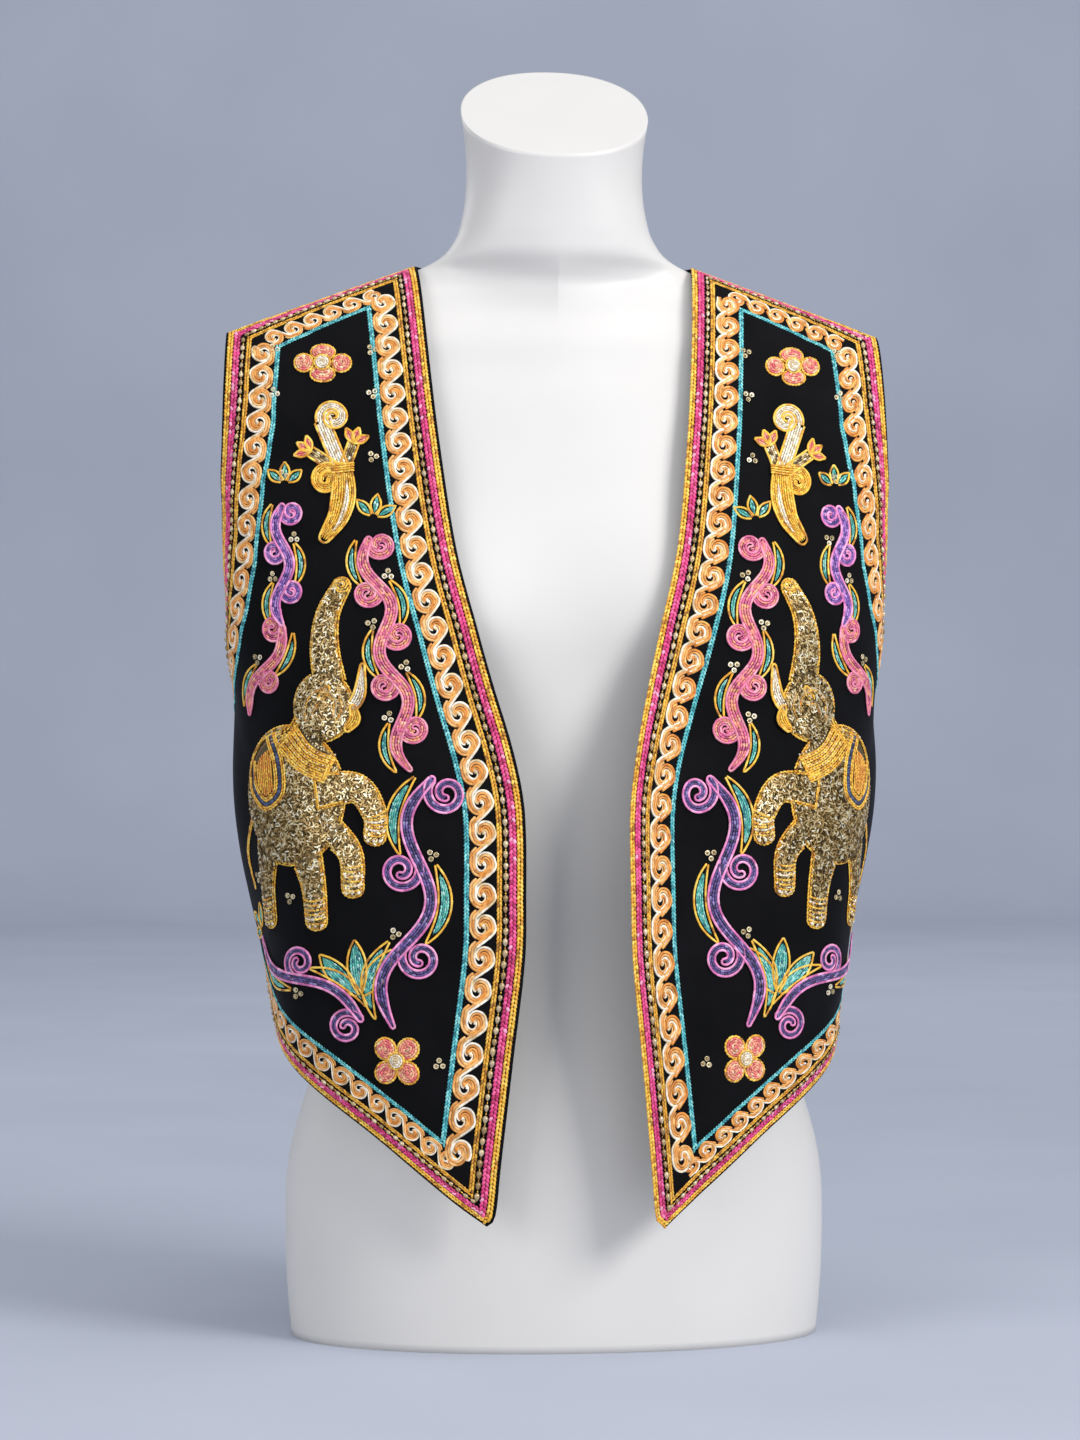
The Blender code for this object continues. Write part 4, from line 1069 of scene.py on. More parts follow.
# columns: scroll, angle, radius
LINK = (
    (0, 205, 0.10), (0, 165, 0.24), (0, 120, 0.40), (0, 80, 0.56), (0, 42, 0.70), (0, 8, 0.76),
    (0, -28, 0.79),
    (1, 128, 0.98), (1, 156, 0.80), (1, 190, 0.76), (1, 225, 0.76), (1, 262, 0.72), (1, 300, 0.62),
    (1, 338, 0.48), (1, 376, 0.36), (1, 420, 0.26), (1, 470, 0.16),
)
LINK_STEPS = 5
FIRST_LINK_ENDS, LAST_LINK_STARTS = LINK_STEPS * 6 + 3, LINK_STEPS * 8 - 3
SCROLL_SPAN = (0.497, 0.905)
SCROLL_COUNTED_AT = 0.6
SCROLL_PITCH = {"hem": 0.0140, "front": 0.0182, "shoulder": 0.0162, "armhole": 0.0172}
SCROLL_SHRINK = {"hem": 0.0, "front": 0.11, "shoulder": 0.0, "armhole": -0.11}
SCROLL_ROOM = 0.004          # how far a run's line goes on past its ends
# columns: across, width, from, to, palette
LINK_STRANDS = (
    (-0.00165, 0.0016, 0.00, 1.00, CREAM), (-0.00010, 0.0018, 0.00, 1.00, TAN),
    (0.00160, 0.0018, 0.00, 0.42, ORANGE), (0.00155, 0.0016, 0.42, 1.00, TAN),
)
LINK_TAPER = {"least": 0.62, "more": 0.38, "over": 0.22}
# columns: along, across, turn, palette
HEART = ((0.0004, 0.0004, 40, CREAM), (-0.0009, 0.0010, 110, CREAM), (0.0011, -0.0008, -25, ORANGE))
HEART_BIT = {"half": 0.0010, "wide": 0.0015, "tall": 0.0013}
LINK_RADIUS = 0.0076         # the radius that the strands' sizes are given for

BEAD_ROW = {"share": 0.330, "step": 0.0062, "long": 0.0049, "wide": 0.0031, "least_wide": 0.0019,
            "most_share": 0.098, "filled": 0.86, "uneven": 0.05, "aside": 0.00025, "flat": 0.85, "sunk": 0.15}
BEAD_SCALE = {"front": 1.0, "hem": 0.72, "shoulder": 0.72, "armhole": 0.86}
BEAD_CROWD = {"front": 1.08}
BEAD_GAP = {"look": 0.0008, "half": 0.55, "wide": 0.0008, "tall": 0.0007}


def make_cords(field, edges, side, seed):
    for number, (node, start, end, palette, lean, pitch, slot) in enumerate(CORDS):
        work = Work(field, seed + number)
        for strand in range(CORD_STRANDS):
            share = start + (end - start) * (strand + 0.5) / CORD_STRANDS
            for line, name in zip(border_line(edges, share), BORDER_NAMES):
                width = BORDER[name] * (end - start) / CORD_STRANDS * CORD_FULLNESS
                stretch = CORD_PITCH["least"] + CORD_PITCH["more"] * width / CORD_PITCH["width"]
                work.strand(line, palette, width, pitch=pitch * stretch, lean=lean if strand else -lean,
                            shift=0.5 * strand)
        material = GILT if slot == "gold_braid" else THREAD
        work.finish(node + "_threads_" + side, material, slot, node + "_" + side)


def scroll_places(total, count, shrink):
    """Where the scrolls of one run sit, as lengths along it, and how long each is."""
    share = np.linspace(0, 1, count + 1)
    marks = total * share * (1 + shrink - shrink * share)
    return (marks[:-1] + marks[1:]) / 2, np.diff(marks)


def link_path(line, low, high, pitch, radius, flip):
    """The scroll's link drawn from the scroll at length high to the one at length low."""
    rows = []
    for scroll, angle, reach in LINK:
        centre, size = (high, pitch[1]) if scroll == 0 else (low, pitch[0])
        along = centre + size / PITCH_UNITS * reach * sin(radians(angle))
        rows.append((along, flip * radius * reach * cos(radians(angle))))
    rows = rounded(np.array(rows), LINK_STEPS)
    return at_lengths(line, rows[:, 0]) + left_of(ways_at(line, rows[:, 0])) * rows[:, 1:]


def draw_link(work, path, size):
    """One link's strands of thread, thinner towards both its ends."""
    share = np.linspace(0, 1, len(path))
    taper = smooth(np.minimum(share, 1 - share) / LINK_TAPER["over"])
    taper = LINK_TAPER["least"] + LINK_TAPER["more"] * taper
    for across, width, start, end, palette in LINK_STRANDS:
        kept = (share >= start) & (share <= end)
        if kept.sum() > 4:
            widths = width * size * np.interp(np.linspace(start, end, 9), share, taper)
            work.cord(offset(path, across * size * taper)[kept], palette, widths)


def fill_hearts(work, line, at, size):
    """The short bits that fill the heart of each scroll."""
    way = ways_at(line, at)
    for along, across, turn, palette in HEART:
        middle = at_lengths(line, at + along * size) + left_of(way) * across * size
        reach = (way * cos(radians(turn)) + left_of(way) * sin(radians(turn))) * HEART_BIT["half"] * size
        work.capsules(middle - reach, middle + reach, HEART_BIT["wide"] * size, HEART_BIT["tall"], WALL,
                      work.pick(palette, len(at)), BIT_RINGS, sides=6)


def make_scrolls(field, edges, side, seed):
    work = Work(field, seed)
    flip = 1 if side == "right" else -1
    counted = border_line(edges, SCROLL_COUNTED_AT)
    lines = border_line(edges, sum(SCROLL_SPAN) / 2)
    for line, name, counted_line in zip(lines, BORDER_NAMES, counted):
        count = round(lengths(counted_line)[-1] / SCROLL_PITCH[name])
        radius = BORDER[name] * (SCROLL_SPAN[1] - SCROLL_SPAN[0]) / 2
        size = radius / LINK_RADIUS
        at, pitch = scroll_places(lengths(line)[-1], count, SCROLL_SHRINK[name])
        line = stretched(line, SCROLL_ROOM)
        at = at + SCROLL_ROOM
        for number in range(-1, len(at)):
            low, high = max(number, 0), min(number + 1, len(at) - 1)
            path = link_path(line, at[low], at[high], (pitch[low], pitch[high]), radius, flip)
            if number < 0:
                path = path[:FIRST_LINK_ENDS]
            elif number == len(at) - 1:
                path = path[LAST_LINK_STARTS:]
            draw_link(work, path, size)
        fill_hearts(work, line, at, size)
    work.finish("scrolls_" + side, THREAD, "scroll_threads", "scroll_band_" + side)


def make_bead_row(field, edges, side, seed):
    """Drop-shaped beads end to end, with a stitch of gold between them."""
    work = Work(field, seed)
    for line, name in zip(border_line(edges, BEAD_ROW["share"]), BORDER_NAMES):
        total = lengths(line)[-1]
        count = int(total / (BEAD_ROW["step"] * (0.5 + 0.5 * BEAD_SCALE[name])))
        marks = total * (1 - np.linspace(1, 0, count + 1) ** BEAD_CROWD.get(name, 1.0))
        room = np.diff(marks)
        at = (marks[:-1] + marks[1:]) / 2
        size = room / BEAD_ROW["step"] * (1 + BEAD_ROW["uneven"] * work.random.standard_normal(count))
        half = np.minimum(BEAD_ROW["long"] * size, room * BEAD_ROW["filled"]) / 2
        tail, head = at_lengths(line, at - half), at_lengths(line, at + half)
        head = head + BEAD_ROW["aside"] * work.random.standard_normal(head.shape)
        wide = np.clip(BEAD_ROW["wide"] * size, BEAD_ROW["least_wide"], BORDER[name] * BEAD_ROW["most_share"])
        work.capsules(head, tail, wide, wide * BEAD_ROW["flat"], WALL, work.pick(BEAD, count), DROP_RINGS,
                      sides=8, sunk=BEAD_ROW["sunk"])
        gaps = at_lengths(line, marks[1:-1])
        ahead = at_lengths(line, marks[1:-1] + BEAD_GAP["look"])
        reach = (ahead - at_lengths(line, marks[1:-1] - BEAD_GAP["look"])) * BEAD_GAP["half"]
        work.capsules(gaps - reach, gaps + reach, BEAD_GAP["wide"], BEAD_GAP["tall"], WALL,
                      work.pick(GOLD, count - 1))
    work.finish("bead_row_" + side, GLAZED, "bullion")


# ---------------------------------------------------------------- vines and leaves, in millimetres

MM = 0.001

# Vines as waves on a straight line, from one end to the other. leading is 1 where the first bend swings to
# the left of the way it runs, and -1 where it swings to the right.
VINE_COLUMNS = (
    "start", "end", "bends", "leading", "swing", "half_width", "curl", "leaf", "fill", "outline", "above",
)
VINES = [dict(zip(VINE_COLUMNS, row)) for row in (
    ((121, 54), (97, -86), 5, 1, 6.0, 3.9, 8.0, 2.5, ROSE, CORAL, 0.0008),
    ((84, -92), (108, -240), 3, 1, 11.0, 3.9, 12.0, 3.6, VIOLET, PINK, 0.0008),
    ((128, -236), (204, -190), 2, 1, 7.0, 3.4, 10.0, 3.0, VIOLET, PINK, 0.0010),
    ((176, 76), (176, 2), 3, 1, 5.0, 3.8, 7.0, 2.5, LILAC, PINK, 0.0009),
    ((176, 0), (204, -52), 2, -1, 5.0, 3.7, 7.0, 2.4, ROSE, CORAL, 0.0007),
)]
BEND_STEPS = 20
STEM_TAPER = ((0, 0.1, 0.9, 1), (0.7, 1, 1, 0.5))       # shares of a stem's length, and of its width there
CURL = {"turns": 1.35, "heart": 0.24, "first_half": 0.80, "last_half": 0.66, "steps": 26, "more": 8,
        "lift": 0.0005}
LEAF = {"gap": 0.6, "from": 0.12, "to": 0.88, "fullness": 1.1, "least": 0.5, "blunt": 0.7, "thread": 0.0014,
        "pitch": 0.0021}
LEAF_EDGE = {"step": 0.0010, "out": 0.0001, "tip": 0.0010, "wide": 0.0014, "above": 0.0002}

# Leaves that fan out from one place
# columns: s, h, way, spread, leaves, long, half width
FANS = (
    (118, 68, 100, 50, 3, 12, 2.8),
    (175, 90, 90, 50, 3, 11, 2.8),
    (128, -224, 85, 38, 3, 32, 5.4),
    (206, -186, 40, 50, 3, 14, 3.0),
)
FAN_HOLLOW = 3
FAN_POINTS = 14


def toward(degrees):
    """The unit way at an angle, from the way round towards the way up."""
    return np.array([cos(radians(degrees)), sin(radians(degrees))])


def wave(vine):
    """A vine's centre line in millimetres, its ways, and for each bend its first point and its side."""
    start, end = np.array(vine["start"], float), np.array(vine["end"], float)
    share = np.linspace(0, 1, vine["bends"] * BEND_STEPS + 1)
    side = left_of(unit(end - start))
    swing = vine["leading"] * vine["swing"] * np.sin(pi * vine["bends"] * share)
    path = start + (end - start) * share[:, None] + side * swing[:, None]
    bends = [(number * BEND_STEPS, vine["leading"] * (-1) ** number) for number in range(vine["bends"])]
    return path, ways(path), bends


def spiral(start, way, side, first, half):
    """A spiral in millimetres that leaves a point along a way, coiling left or right."""
    centre = start + left_of(way) * side * first
    share = np.linspace(0, 1, int(CURL["steps"] * CURL["turns"]) + CURL["more"])
    angle = side * 2 * pi * CURL["turns"] * share
    radius = 1 + (CURL["heart"] - 1) * share
    half = half * (CURL["first_half"] + (CURL["last_half"] - CURL["first_half"]) * share)
    return centre + turned(start - centre, angle) * radius[:, None], half


def make_vines(field, side, seed):
    work = Work(field, seed)
    for vine in VINES:
        path, way, bends = wave(vine)
        for at, outside in bends:
            coil, half = spiral(path[at], way[at], -outside, vine["curl"], vine["half_width"])
            work.band(coil * MM, half * MM, vine["fill"], vine["outline"], lift=CURL["lift"], caps=(0, 1))
        half = vine["half_width"] * np.interp(np.linspace(0, 1, len(path)), *STEM_TAPER)
        work.band(path * MM, half * MM, vine["fill"], vine["outline"], lift=vine["above"], caps=(1, 1))
    work.finish("vines_" + side, THREAD, "flower_threads")


def leaf_half(count, half_width):
    """The half widths of a leaf, pointed at both ends."""
    return np.maximum(half_width * np.sin(pi * np.linspace(0, 1, count)) ** LEAF["blunt"], LEAF["least"])


def leaf_shapes():
    """Every leaf's centre line and half widths in millimetres: outside each bend, then the fans."""
    for vine in VINES:
        path, way, bends = wave(vine)
        for at, outside in bends:
            part = slice(at + int(LEAF["from"] * BEND_STEPS), at + int(LEAF["to"] * BEND_STEPS) + 1)
            away = outside * (vine["half_width"] + LEAF["gap"] + vine["leaf"] * LEAF["fullness"])
            centre = path[part] + left_of(way[part]) * away
            yield centre, leaf_half(len(centre), vine["leaf"])
    for s, h, way, spread, leaves, long, half_width in FANS:
        reach = FAN_HOLLOW + long * np.linspace(0, 1, FAN_POINTS)[:, None]
        for number in range(leaves):
            centre = np.array([s, h]) + toward(way + spread * (number - (leaves - 1) / 2)) * reach
            yield centre, leaf_half(FAN_POINTS, half_width)


def make_leaves(field, side, seed):
    work = Work(field, seed)
    edging = Work(field, seed + 1)
    for centre, half in leaf_shapes():
        path, half = centre * MM, half * MM * LEAF["fullness"]
        work.band(path, half, TEAL, None, thread=LEAF["thread"], pitch=LEAF["pitch"])
        outline_leaf(edging, path, half)
    work.finish("leaves_" + side, THREAD, "turquoise_cord")
    edging.finish("leaf_edges_" + side, GILT, "gold_braid")


def outline_leaf(work, path, half):
    """The gilt edge of a leaf, with a small loop where it turns back at the tip."""
    fine = stepped(path, LEAF_EDGE["step"])
    share = lengths(fine) / lengths(fine)[-1]
    reach = np.interp(share, lengths(path) / lengths(path)[-1], half) + LEAF_EDGE["out"]
    tip = fine[-1:] + ways(fine)[-1:] * LEAF_EDGE["tip"]
    line = np.vstack([offset(fine, reach), tip, offset(fine, -reach)[::-1]])
    work.cord(line, GOLD, LEAF_EDGE["wide"], above=LEAF_EDGE["above"])


# ---------------------------------------------------------------- elephants, in units of their own

# +x is the way an elephant faces, +y is up

ELEPHANT = {"s": 0.172, "h": -0.122, "scale": 0.00112, "height": 0.0030, "ease": 0.0035}
# columns: x, y, half wide, half tall
BODY = (0, 18, 32, 38)
HEAD = (20, 66, 17, 19)
# columns: x, y, half width
TRUNK = ((24, 78, 9), (21, 98, 8), (23, 116, 6.5), (31, 132, 5))
FAR_LEGS = (
    ((18, 4, 9), (34, -12, 7), (36, -32, 6)),
    ((-16, -6, 10), (-18, -30, 7), (-16, -50, 6)),
    ((8, -8, 10), (14, -30, 7), (16, -50, 6)),
)
NEAR_LEG = ((16, 20, 10), (38, 22, 8), (48, 8, 6.5), (48, -4, 6))
TAIL = ((-30, 6), (-38, -14), (-34, -34))
TUSK = ((33, 62, 2.4), (40, 72, 3.0), (42, 88, 1.0))
LIP = ((34, 54, 1.6), (38, 59, 2.4), (37, 65, 1.6))
EYE = ((20, 70, 1.0), (22, 73, 2.0), (24, 76, 1.0))
BROW_LINES = (
    ((10, 58), (12, 70), (20, 76), (28, 70), (28, 60)),
    ((14, 60), (18, 68), (24, 68)),
    ((30, 74), (33, 66), (30, 58)),
)
NECK_EDGE = ((6, 76), (3, 66), (-2, 57), (-12, 53))
COLLAR_FROM = ((6, 54), (-4, 44))
COLLAR_TO = ((27, 38), (22, 26))
CLOTH_EDGE = ((-28, 36), (-26, 20), (-14, 10), (-2, 18), (-2, 36), (-8, 52))
CLOTH_TOP = ((-28, 36), (-20, 46), (-8, 52))

# How a pad lies: its edge sinks into the velvet, and its underside a little deeper
PAD_EDGE, PAD_UNDER, LIMB_UNDER = 0.0004, 0.0006, 0.0008
PADDING = linear("6B5B3C")
HEAD_HEIGHT, LIMB_HEIGHT = 1.15, 0.85         # over the elephant's height
TOE_ROUND = 0.8

# Cut purl: bits laid in small fields of one direction, which waves over the pattern decide
BIT = {"long": 0.0026, "wide": 0.00120, "step": 0.00148, "jitter": 0.35, "from_edge": 0.0011, "sunk": 0.0001,
       "rise": 0.0004, "turn_step": 0.8, "uneven": 0.28}
FIELD_WAVES = {"s_turn": 3.1, "s": 640, "s_from": 1.7, "h_turn": 2.7, "h": 520, "both": 300}

# Gilt rows: how wide they are, how far they lie apart and how they lean
ROW = {"wide": 0.0015, "apart": 0.0014, "lean": 10}
EDGE_ROWS = {"away": (0.0002, 0.0015), "wide": 0.00145, "above": (0.0002, 0.0007), "lean": (-11, 11)}
EDGE_LIFT = {"part": 0.0003, "trunk": 0.0004}
TAIL_ROWS = {"away": (-0.00065, 0.00065), "wide": 0.0014, "above": 0.0002, "lean": (11, -11)}
# columns: above the toes, palette
LEG_BANDS = (
    (0.0150, GOLD), (0.0134, GOLD), (0.0112, CREAM), (0.0090, GOLD), (0.0074, GOLD), (0.0054, CREAM),
    (0.0034, GOLD),
    (0.0018, GOLD),
)
LEG_BAND = {"bend": 0.0014, "share": 0.92, "pitch": 0.0020, "above": 0.0005, "lean": 8}
TOES = {"at": (-0.55, 0.0, 0.55), "out": 0.0024, "half": 0.0012, "wide": 0.0028, "tall": 0.0018,
        "lift": 0.0012}
NECK_ROWS = {"count": 4, "from": 0.0030, "apart": 0.0017, "above": 0.0004}
COLLAR = {"rows": 6, "sag": (1.6, 2.4), "above": 0.0007, "end_above": 0.0009}
COLLAR_BEAD = {"away": 0.0021, "from": 0.001, "step": 0.0021, "half": 0.0005, "wide": 0.0015, "tall": 0.0013,
               "lift": 0.0004}
SADDLE_ROWS = {"away": (0.0, 0.0014, 0.0056, 0.0070), "above": 0.0006}
SADDLE_TEETH = {"from": 0.0023, "to": 0.0048, "wide": 0.0011, "tall": 0.0009, "lift": 0.0004}
SADDLE_FILL = {"step": 0.0016, "points": 0.0005, "slant": 0.004, "from_edge": 0.0080, "wide": 0.0016,
               "above": 0.0004, "lean": 7}
# columns: centre line, fill, lift
FACE = ((TUSK, CREAM, 0.0012), (LIP, GOLD, 0.0018), (EYE, SADDLE, 0.0034))
FACE_EDGE = 0.0009
# columns: away, palette, wide, above, lean
BROW_ROWS = ((0.0, BEAD, 0.0014, 0.0005, 10), (0.0013, SADDLE, 0.0012, 0.0004, -10))
TIP_CURL = {"radii": (0.0047, 0.0032, 0.0017), "pitch": 0.0020, "above": 0.0005}


def on_pattern(points):
    """Elephant units to the pattern."""
    points = np.asarray(points, float)
    middle = np.array([ELEPHANT["s"], ELEPHANT["h"]])
    return middle + points[..., :2] * (-ELEPHANT["scale"], ELEPHANT["scale"])


def oval(x, y, half_wide, half_tall, points=96):
    """An oval outline."""
    angle = np.linspace(0, 2 * pi, points, endpoint=False)
    return np.stack([x + half_wide * np.cos(angle), y + half_tall * np.sin(angle)], 1)


def limb_shape(rows, steps=8):
    """A limb's smooth centre line, half widths and outline."""
    table = rounded(np.array(rows, float), steps)
    path, half = table[:, :2], table[:, 2]
    side = left_of(ways(path)) * half[:, None]
    end = ways(path)[-1] * half[-1] * TOE_ROUND
    cap = [path[-1] + side[-1] * cos(turn) + end * sin(turn) for turn in np.linspace(0, pi, 9)[1:-1]]
    return path, half, np.vstack([path + side, cap, (path - side)[::-1]])


def inside(points, outline):
    """Which points lie inside a closed outline."""
    x, y = points.T
    within = np.zeros(len(points), bool)
    for (ax, ay), (bx, by) in zip(outline, np.roll(outline, -1, axis=0)):
        spans = (ay > y) != (by > y)
        with np.errstate(divide="ignore", invalid="ignore"):
            within ^= spans & (x < (bx - ax) * (y - ay) / (by - ay) + ax)
    return within


def distance(points, outline):
    """How far each point is from a closed outline."""
    a, b = outline, np.roll(outline, -1, axis=0)
    way = b - a
    share = ((points[:, None] - a) * way).sum(-1) / np.maximum((way * way).sum(-1), 1e-18)
    near = a + np.clip(share, 0, 1)[..., None] * way
    return np.sqrt(((points[:, None] - near) ** 2).sum(-1).min(axis=1))


class Pad:
    """One padded shape of an elephant: how high it stands over the velvet at a pattern point."""

    def __init__(self, outline, height, base=0.0):
        self.outline, self.height, self.base = outline, height, base

    def __call__(self, points):
        reach = distance(points, self.outline) * inside(points, self.outline)
        return self.base + self.height * (1 - np.exp(-reach / ELEPHANT["ease"]))


def add_pad(work, outline, pad, tint, rings=7):
    """The padding itself: rings of points drawn in towards the shape's spine."""
    centre = outline.mean(axis=0)
    rows = [outline]
    for number in range(1, rings):
        rows.append(centre + (outline - centre) * (1 - number / rings))
    points = np.concatenate(rows + [centre[None]])
    lift = WALL + pad(points)
    lift[:len(outline)] = WALL - PAD_EDGE
    top = work.field.place(points, lift)[0]
    low = work.field.place(outline, WALL - PAD_UNDER)[0]
    middle = work.field.place(centre[None], WALL - PAD_UNDER)[0]
    count = len(outline)
    near = np.arange(count)
    after = np.roll(near, -1)
    quads = [np.stack([near + first, after + first, after + first + count, near + first + count], 1)
             for first in count * np.arange(rings - 1)]
    last = count * (rings - 1)
    tip = len(points) - 1
    first_low = len(points)
    quads.append(np.stack([near, near + first_low, after + first_low, after], 1))
    triangles = [np.stack([near + last, after + last, np.full(count, tip)], 1)]
    triangles.append(np.stack([after + first_low, near + first_low, np.full(count, first_low + count)], 1))
    quads, triangles = np.concatenate(quads), np.concatenate(triangles)
    if twice_area(outline) * work.field.mirror < 0:
        quads, triangles = quads[:, ::-1], triangles[:, ::-1]
    verts = np.concatenate([top, low, middle])
    work.add(verts[None], triangles, quads, tint[None])


def add_limb_pad(work, path, half, pad, tint, across=9):
    """The padding of a limb, as rows across its centre line."""
    side = left_of(ways(path))
    stations = np.linspace(1, -1, across)
    grid = path[:, None] + side[:, None] * (half[:, None] * stations)[..., None]
    flat = grid.reshape(-1, 2)
    lift = WALL + pad(flat)
    lift[np.abs(np.tile(stations, len(path))) == 1] = WALL - PAD_EDGE
    top = work.field.place(flat, lift)[0]
    low = work.field.place(flat, WALL - LIMB_UNDER)[0]
    rows = len(path)
    upper = grid_faces(rows, across)[:, ::-1]
    lower = grid_faces(rows, across, rows * across)
    loop = rim_loop(np.arange(rows * across).reshape(rows, across))
    sides = np.stack([loop, np.roll(loop, -1), np.roll(loop, -1) + rows * across, loop + rows * across], 1)
    quads = np.concatenate([upper, lower, sides])
    if work.field.mirror < 0:
        quads = quads[:, ::-1]
    work.add(np.concatenate([top, low])[None], np.zeros((0, 3), int), quads, tint[None])


def scatter(work, outline, keep_off):
    """Points on a jittered lattice inside an outline."""
    low, high = outline.min(axis=0), outline.max(axis=0)
    s = np.arange(low[0], high[0], BIT["step"])
    h = np.arange(low[1], high[1], BIT["step"])
    grid = np.stack(np.meshgrid(s, h, indexing="ij"), -1).reshape(-1, 2)
    grid = grid + work.random.uniform(-BIT["jitter"], BIT["jitter"], grid.shape) * BIT["step"]
    kept = inside(grid, outline)
    for other in keep_off:
        kept &= ~inside(grid, other)
    grid = grid[kept]
    return grid[distance(grid, outline) > BIT["from_edge"]]


def bullion(work, outline, pad, keep_off=()):
    """Cut metal purl laid every way over a pad, in small fields of one direction."""
    places = scatter(work, outline, keep_off)
    s, h = places.T
    waves = FIELD_WAVES
    turn = (waves["s_turn"] * np.sin(s * waves["s"] + waves["s_from"])
            + waves["h_turn"] * np.cos(h * waves["h"] + s * waves["both"]))
    turn = (np.round(turn / BIT["turn_step"]) * BIT["turn_step"]
            + BIT["uneven"] * work.random.standard_normal(len(places)))
    way = np.stack([np.cos(turn), np.sin(turn)], 1) * BIT["long"] / 2
    rise = WALL + pad(places) - BIT["sunk"] + work.random.uniform(0, BIT["rise"], len(places))
    # Each bit's tint comes from the purl palette, so some bits carry painted glints and some carry painted
    # shade.
    work.capsules(places - way, places + way, BIT["wide"], BIT["wide"], rise, work.pick(BULLION_GLINTS_AND_SHADE, len(places)),
                  BIT_RINGS)


def limb_part(rows):
    """A limb on the pattern: its centre line, half widths, outline and pad."""
    path, half, outline = limb_shape(rows)
    outline = on_pattern(outline)
    return on_pattern(path), half * ELEPHANT["scale"], outline, Pad(outline, ELEPHANT["height"] * LIMB_HEIGHT)


def make_elephant(field, side, seed):
    base, metal, gilt = Work(field, seed), Work(field, seed + 1), Work(field, seed + 2)
    body, head = on_pattern(oval(*BODY)), on_pattern(oval(*HEAD))
    body_pad, head_pad = Pad(body, ELEPHANT["height"]), Pad(head, ELEPHANT["height"] * HEAD_HEIGHT)
    blanket = on_pattern(np.vstack([rounded(CLOTH_EDGE, 6), rounded(CLOTH_TOP, 4)[::-1]]))
    collar = on_pattern(np.array(COLLAR_FROM + COLLAR_TO[::-1], float))
    far = [limb_part(rows) for rows in FAR_LEGS]
    near, trunk = limb_part(NEAR_LEG), limb_part(TRUNK)

    def over_body(points):
        return np.maximum(body_pad(points), near[3](points))

    for path, half, outline, pad in far:
        add_limb_pad(base, path, half, pad, PADDING)
        bullion(metal, outline, pad, keep_off=(body,))
    add_pad(base, body, body_pad, PADDING)
    add_pad(base, head, head_pad, PADDING)
    for path, half, outline, pad in (near, trunk):
        add_limb_pad(base, path, half, pad, PADDING)
    bullion(metal, near[2], over_body)
    bullion(metal, trunk[2], trunk[3], keep_off=(head,))
    bullion(metal, body, body_pad, keep_off=(blanket, collar, head, near[2]))
    bullion(metal, head, head_pad)
    outline_elephant(gilt, body, head, far, near, trunk, body_pad)
    dress_legs(gilt, far + [near])
    dress_neck(gilt, body_pad)
    dress_saddle(gilt, body_pad, blanket)
    dress_head(gilt, head_pad, trunk)
    base.finish("elephant_padding_" + side, PURL, "bullion", "elephant_" + side)
    metal.finish("elephant_purl_" + side, PURL, "bullion")
    gilt.finish("elephant_gilt_" + side, GILT, "gold_braid")


def outside_of(line, outlines):
    """The stretches of a line that lie outside all the outlines."""
    kept = np.ones(len(line), bool)
    for outline in outlines:
        kept &= ~inside(line, outline)
    ends = np.flatnonzero(np.diff(np.concatenate([[False], kept, [False]]).astype(int)))
    return [line[start:end] for start, end in zip(ends[::2], ends[1::2]) if end - start > 3]


def turned_left(outline):
    """The closed outline run so that its inside is on the left."""
    loop = [outline, outline[:1]] if twice_area(outline) > 0 else [outline[::-1], outline[-1:]]
    return stepped(np.vstack(loop), 0.001)


def rows_of(work, line, aways, palette=GOLD, wide=ROW["wide"], **how):
    """Rows of thread side by side along a line; how may give one value for each row."""
    for number, away in enumerate(aways):
        own = {name: value[number] if isinstance(value, tuple) else value for name, value in how.items()}
        work.strand(offset(line, away), palette, wide, **own)


def outline_elephant(work, body, head, far, near, trunk, body_pad):
    """Two rows of gilt thread round every part, what lies behind broken off at what lies before it."""
    jobs = [(part[2], [body, near[2]], EDGE_LIFT["part"]) for part in far]
    jobs += [(body, [head, near[2]], EDGE_LIFT["part"]), (near[2], [], body_pad)]
    jobs += [(head, [trunk[2], body], EDGE_LIFT["part"]), (trunk[2], [head], EDGE_LIFT["trunk"])]
    for outline, before, lift in jobs:
        for stretch in outside_of(turned_left(outline), before):
            rows_of(work, stretch, EDGE_ROWS["away"], wide=EDGE_ROWS["wide"], above=EDGE_ROWS["above"],
                    lean=EDGE_ROWS["lean"], lift=lift, shift=(0.0, 0.5))
    rows_of(work, on_pattern(rounded(TAIL, 8)), TAIL_ROWS["away"], wide=TAIL_ROWS["wide"],
            above=TAIL_ROWS["above"], lean=TAIL_ROWS["lean"])


def dress_legs(work, legs):
    """Gilt and cream bands above each foot, and the toes."""
    across = np.linspace(1, -1, 9)[:, None]
    for path, half, _, pad in legs:
        side, way = left_of(ways(path)), ways(path)
        length = lengths(path)
        for back, palette in LEG_BANDS:
            at = int(np.searchsorted(length, length[-1] - back))
            bend = way[at] * LEG_BAND["bend"] * (1 - across ** 2)
            line = path[at] + side[at] * half[at] * across * LEG_BAND["share"] + bend
            work.strand(line, palette, ROW["wide"], pitch=LEG_BAND["pitch"], lift=pad,
                        above=LEG_BAND["above"], lean=LEG_BAND["lean"])
        tips = path[-1] + side[-1] * half[-1] * np.array(TOES["at"])[:, None] + way[-1] * TOES["out"]
        reach = way[-1:] * TOES["half"]
        work.capsules(tips - reach, tips + reach, TOES["wide"], TOES["tall"], WALL + TOES["lift"],
                      work.pick(CREAM, len(tips)), SEED_RINGS, sides=6)


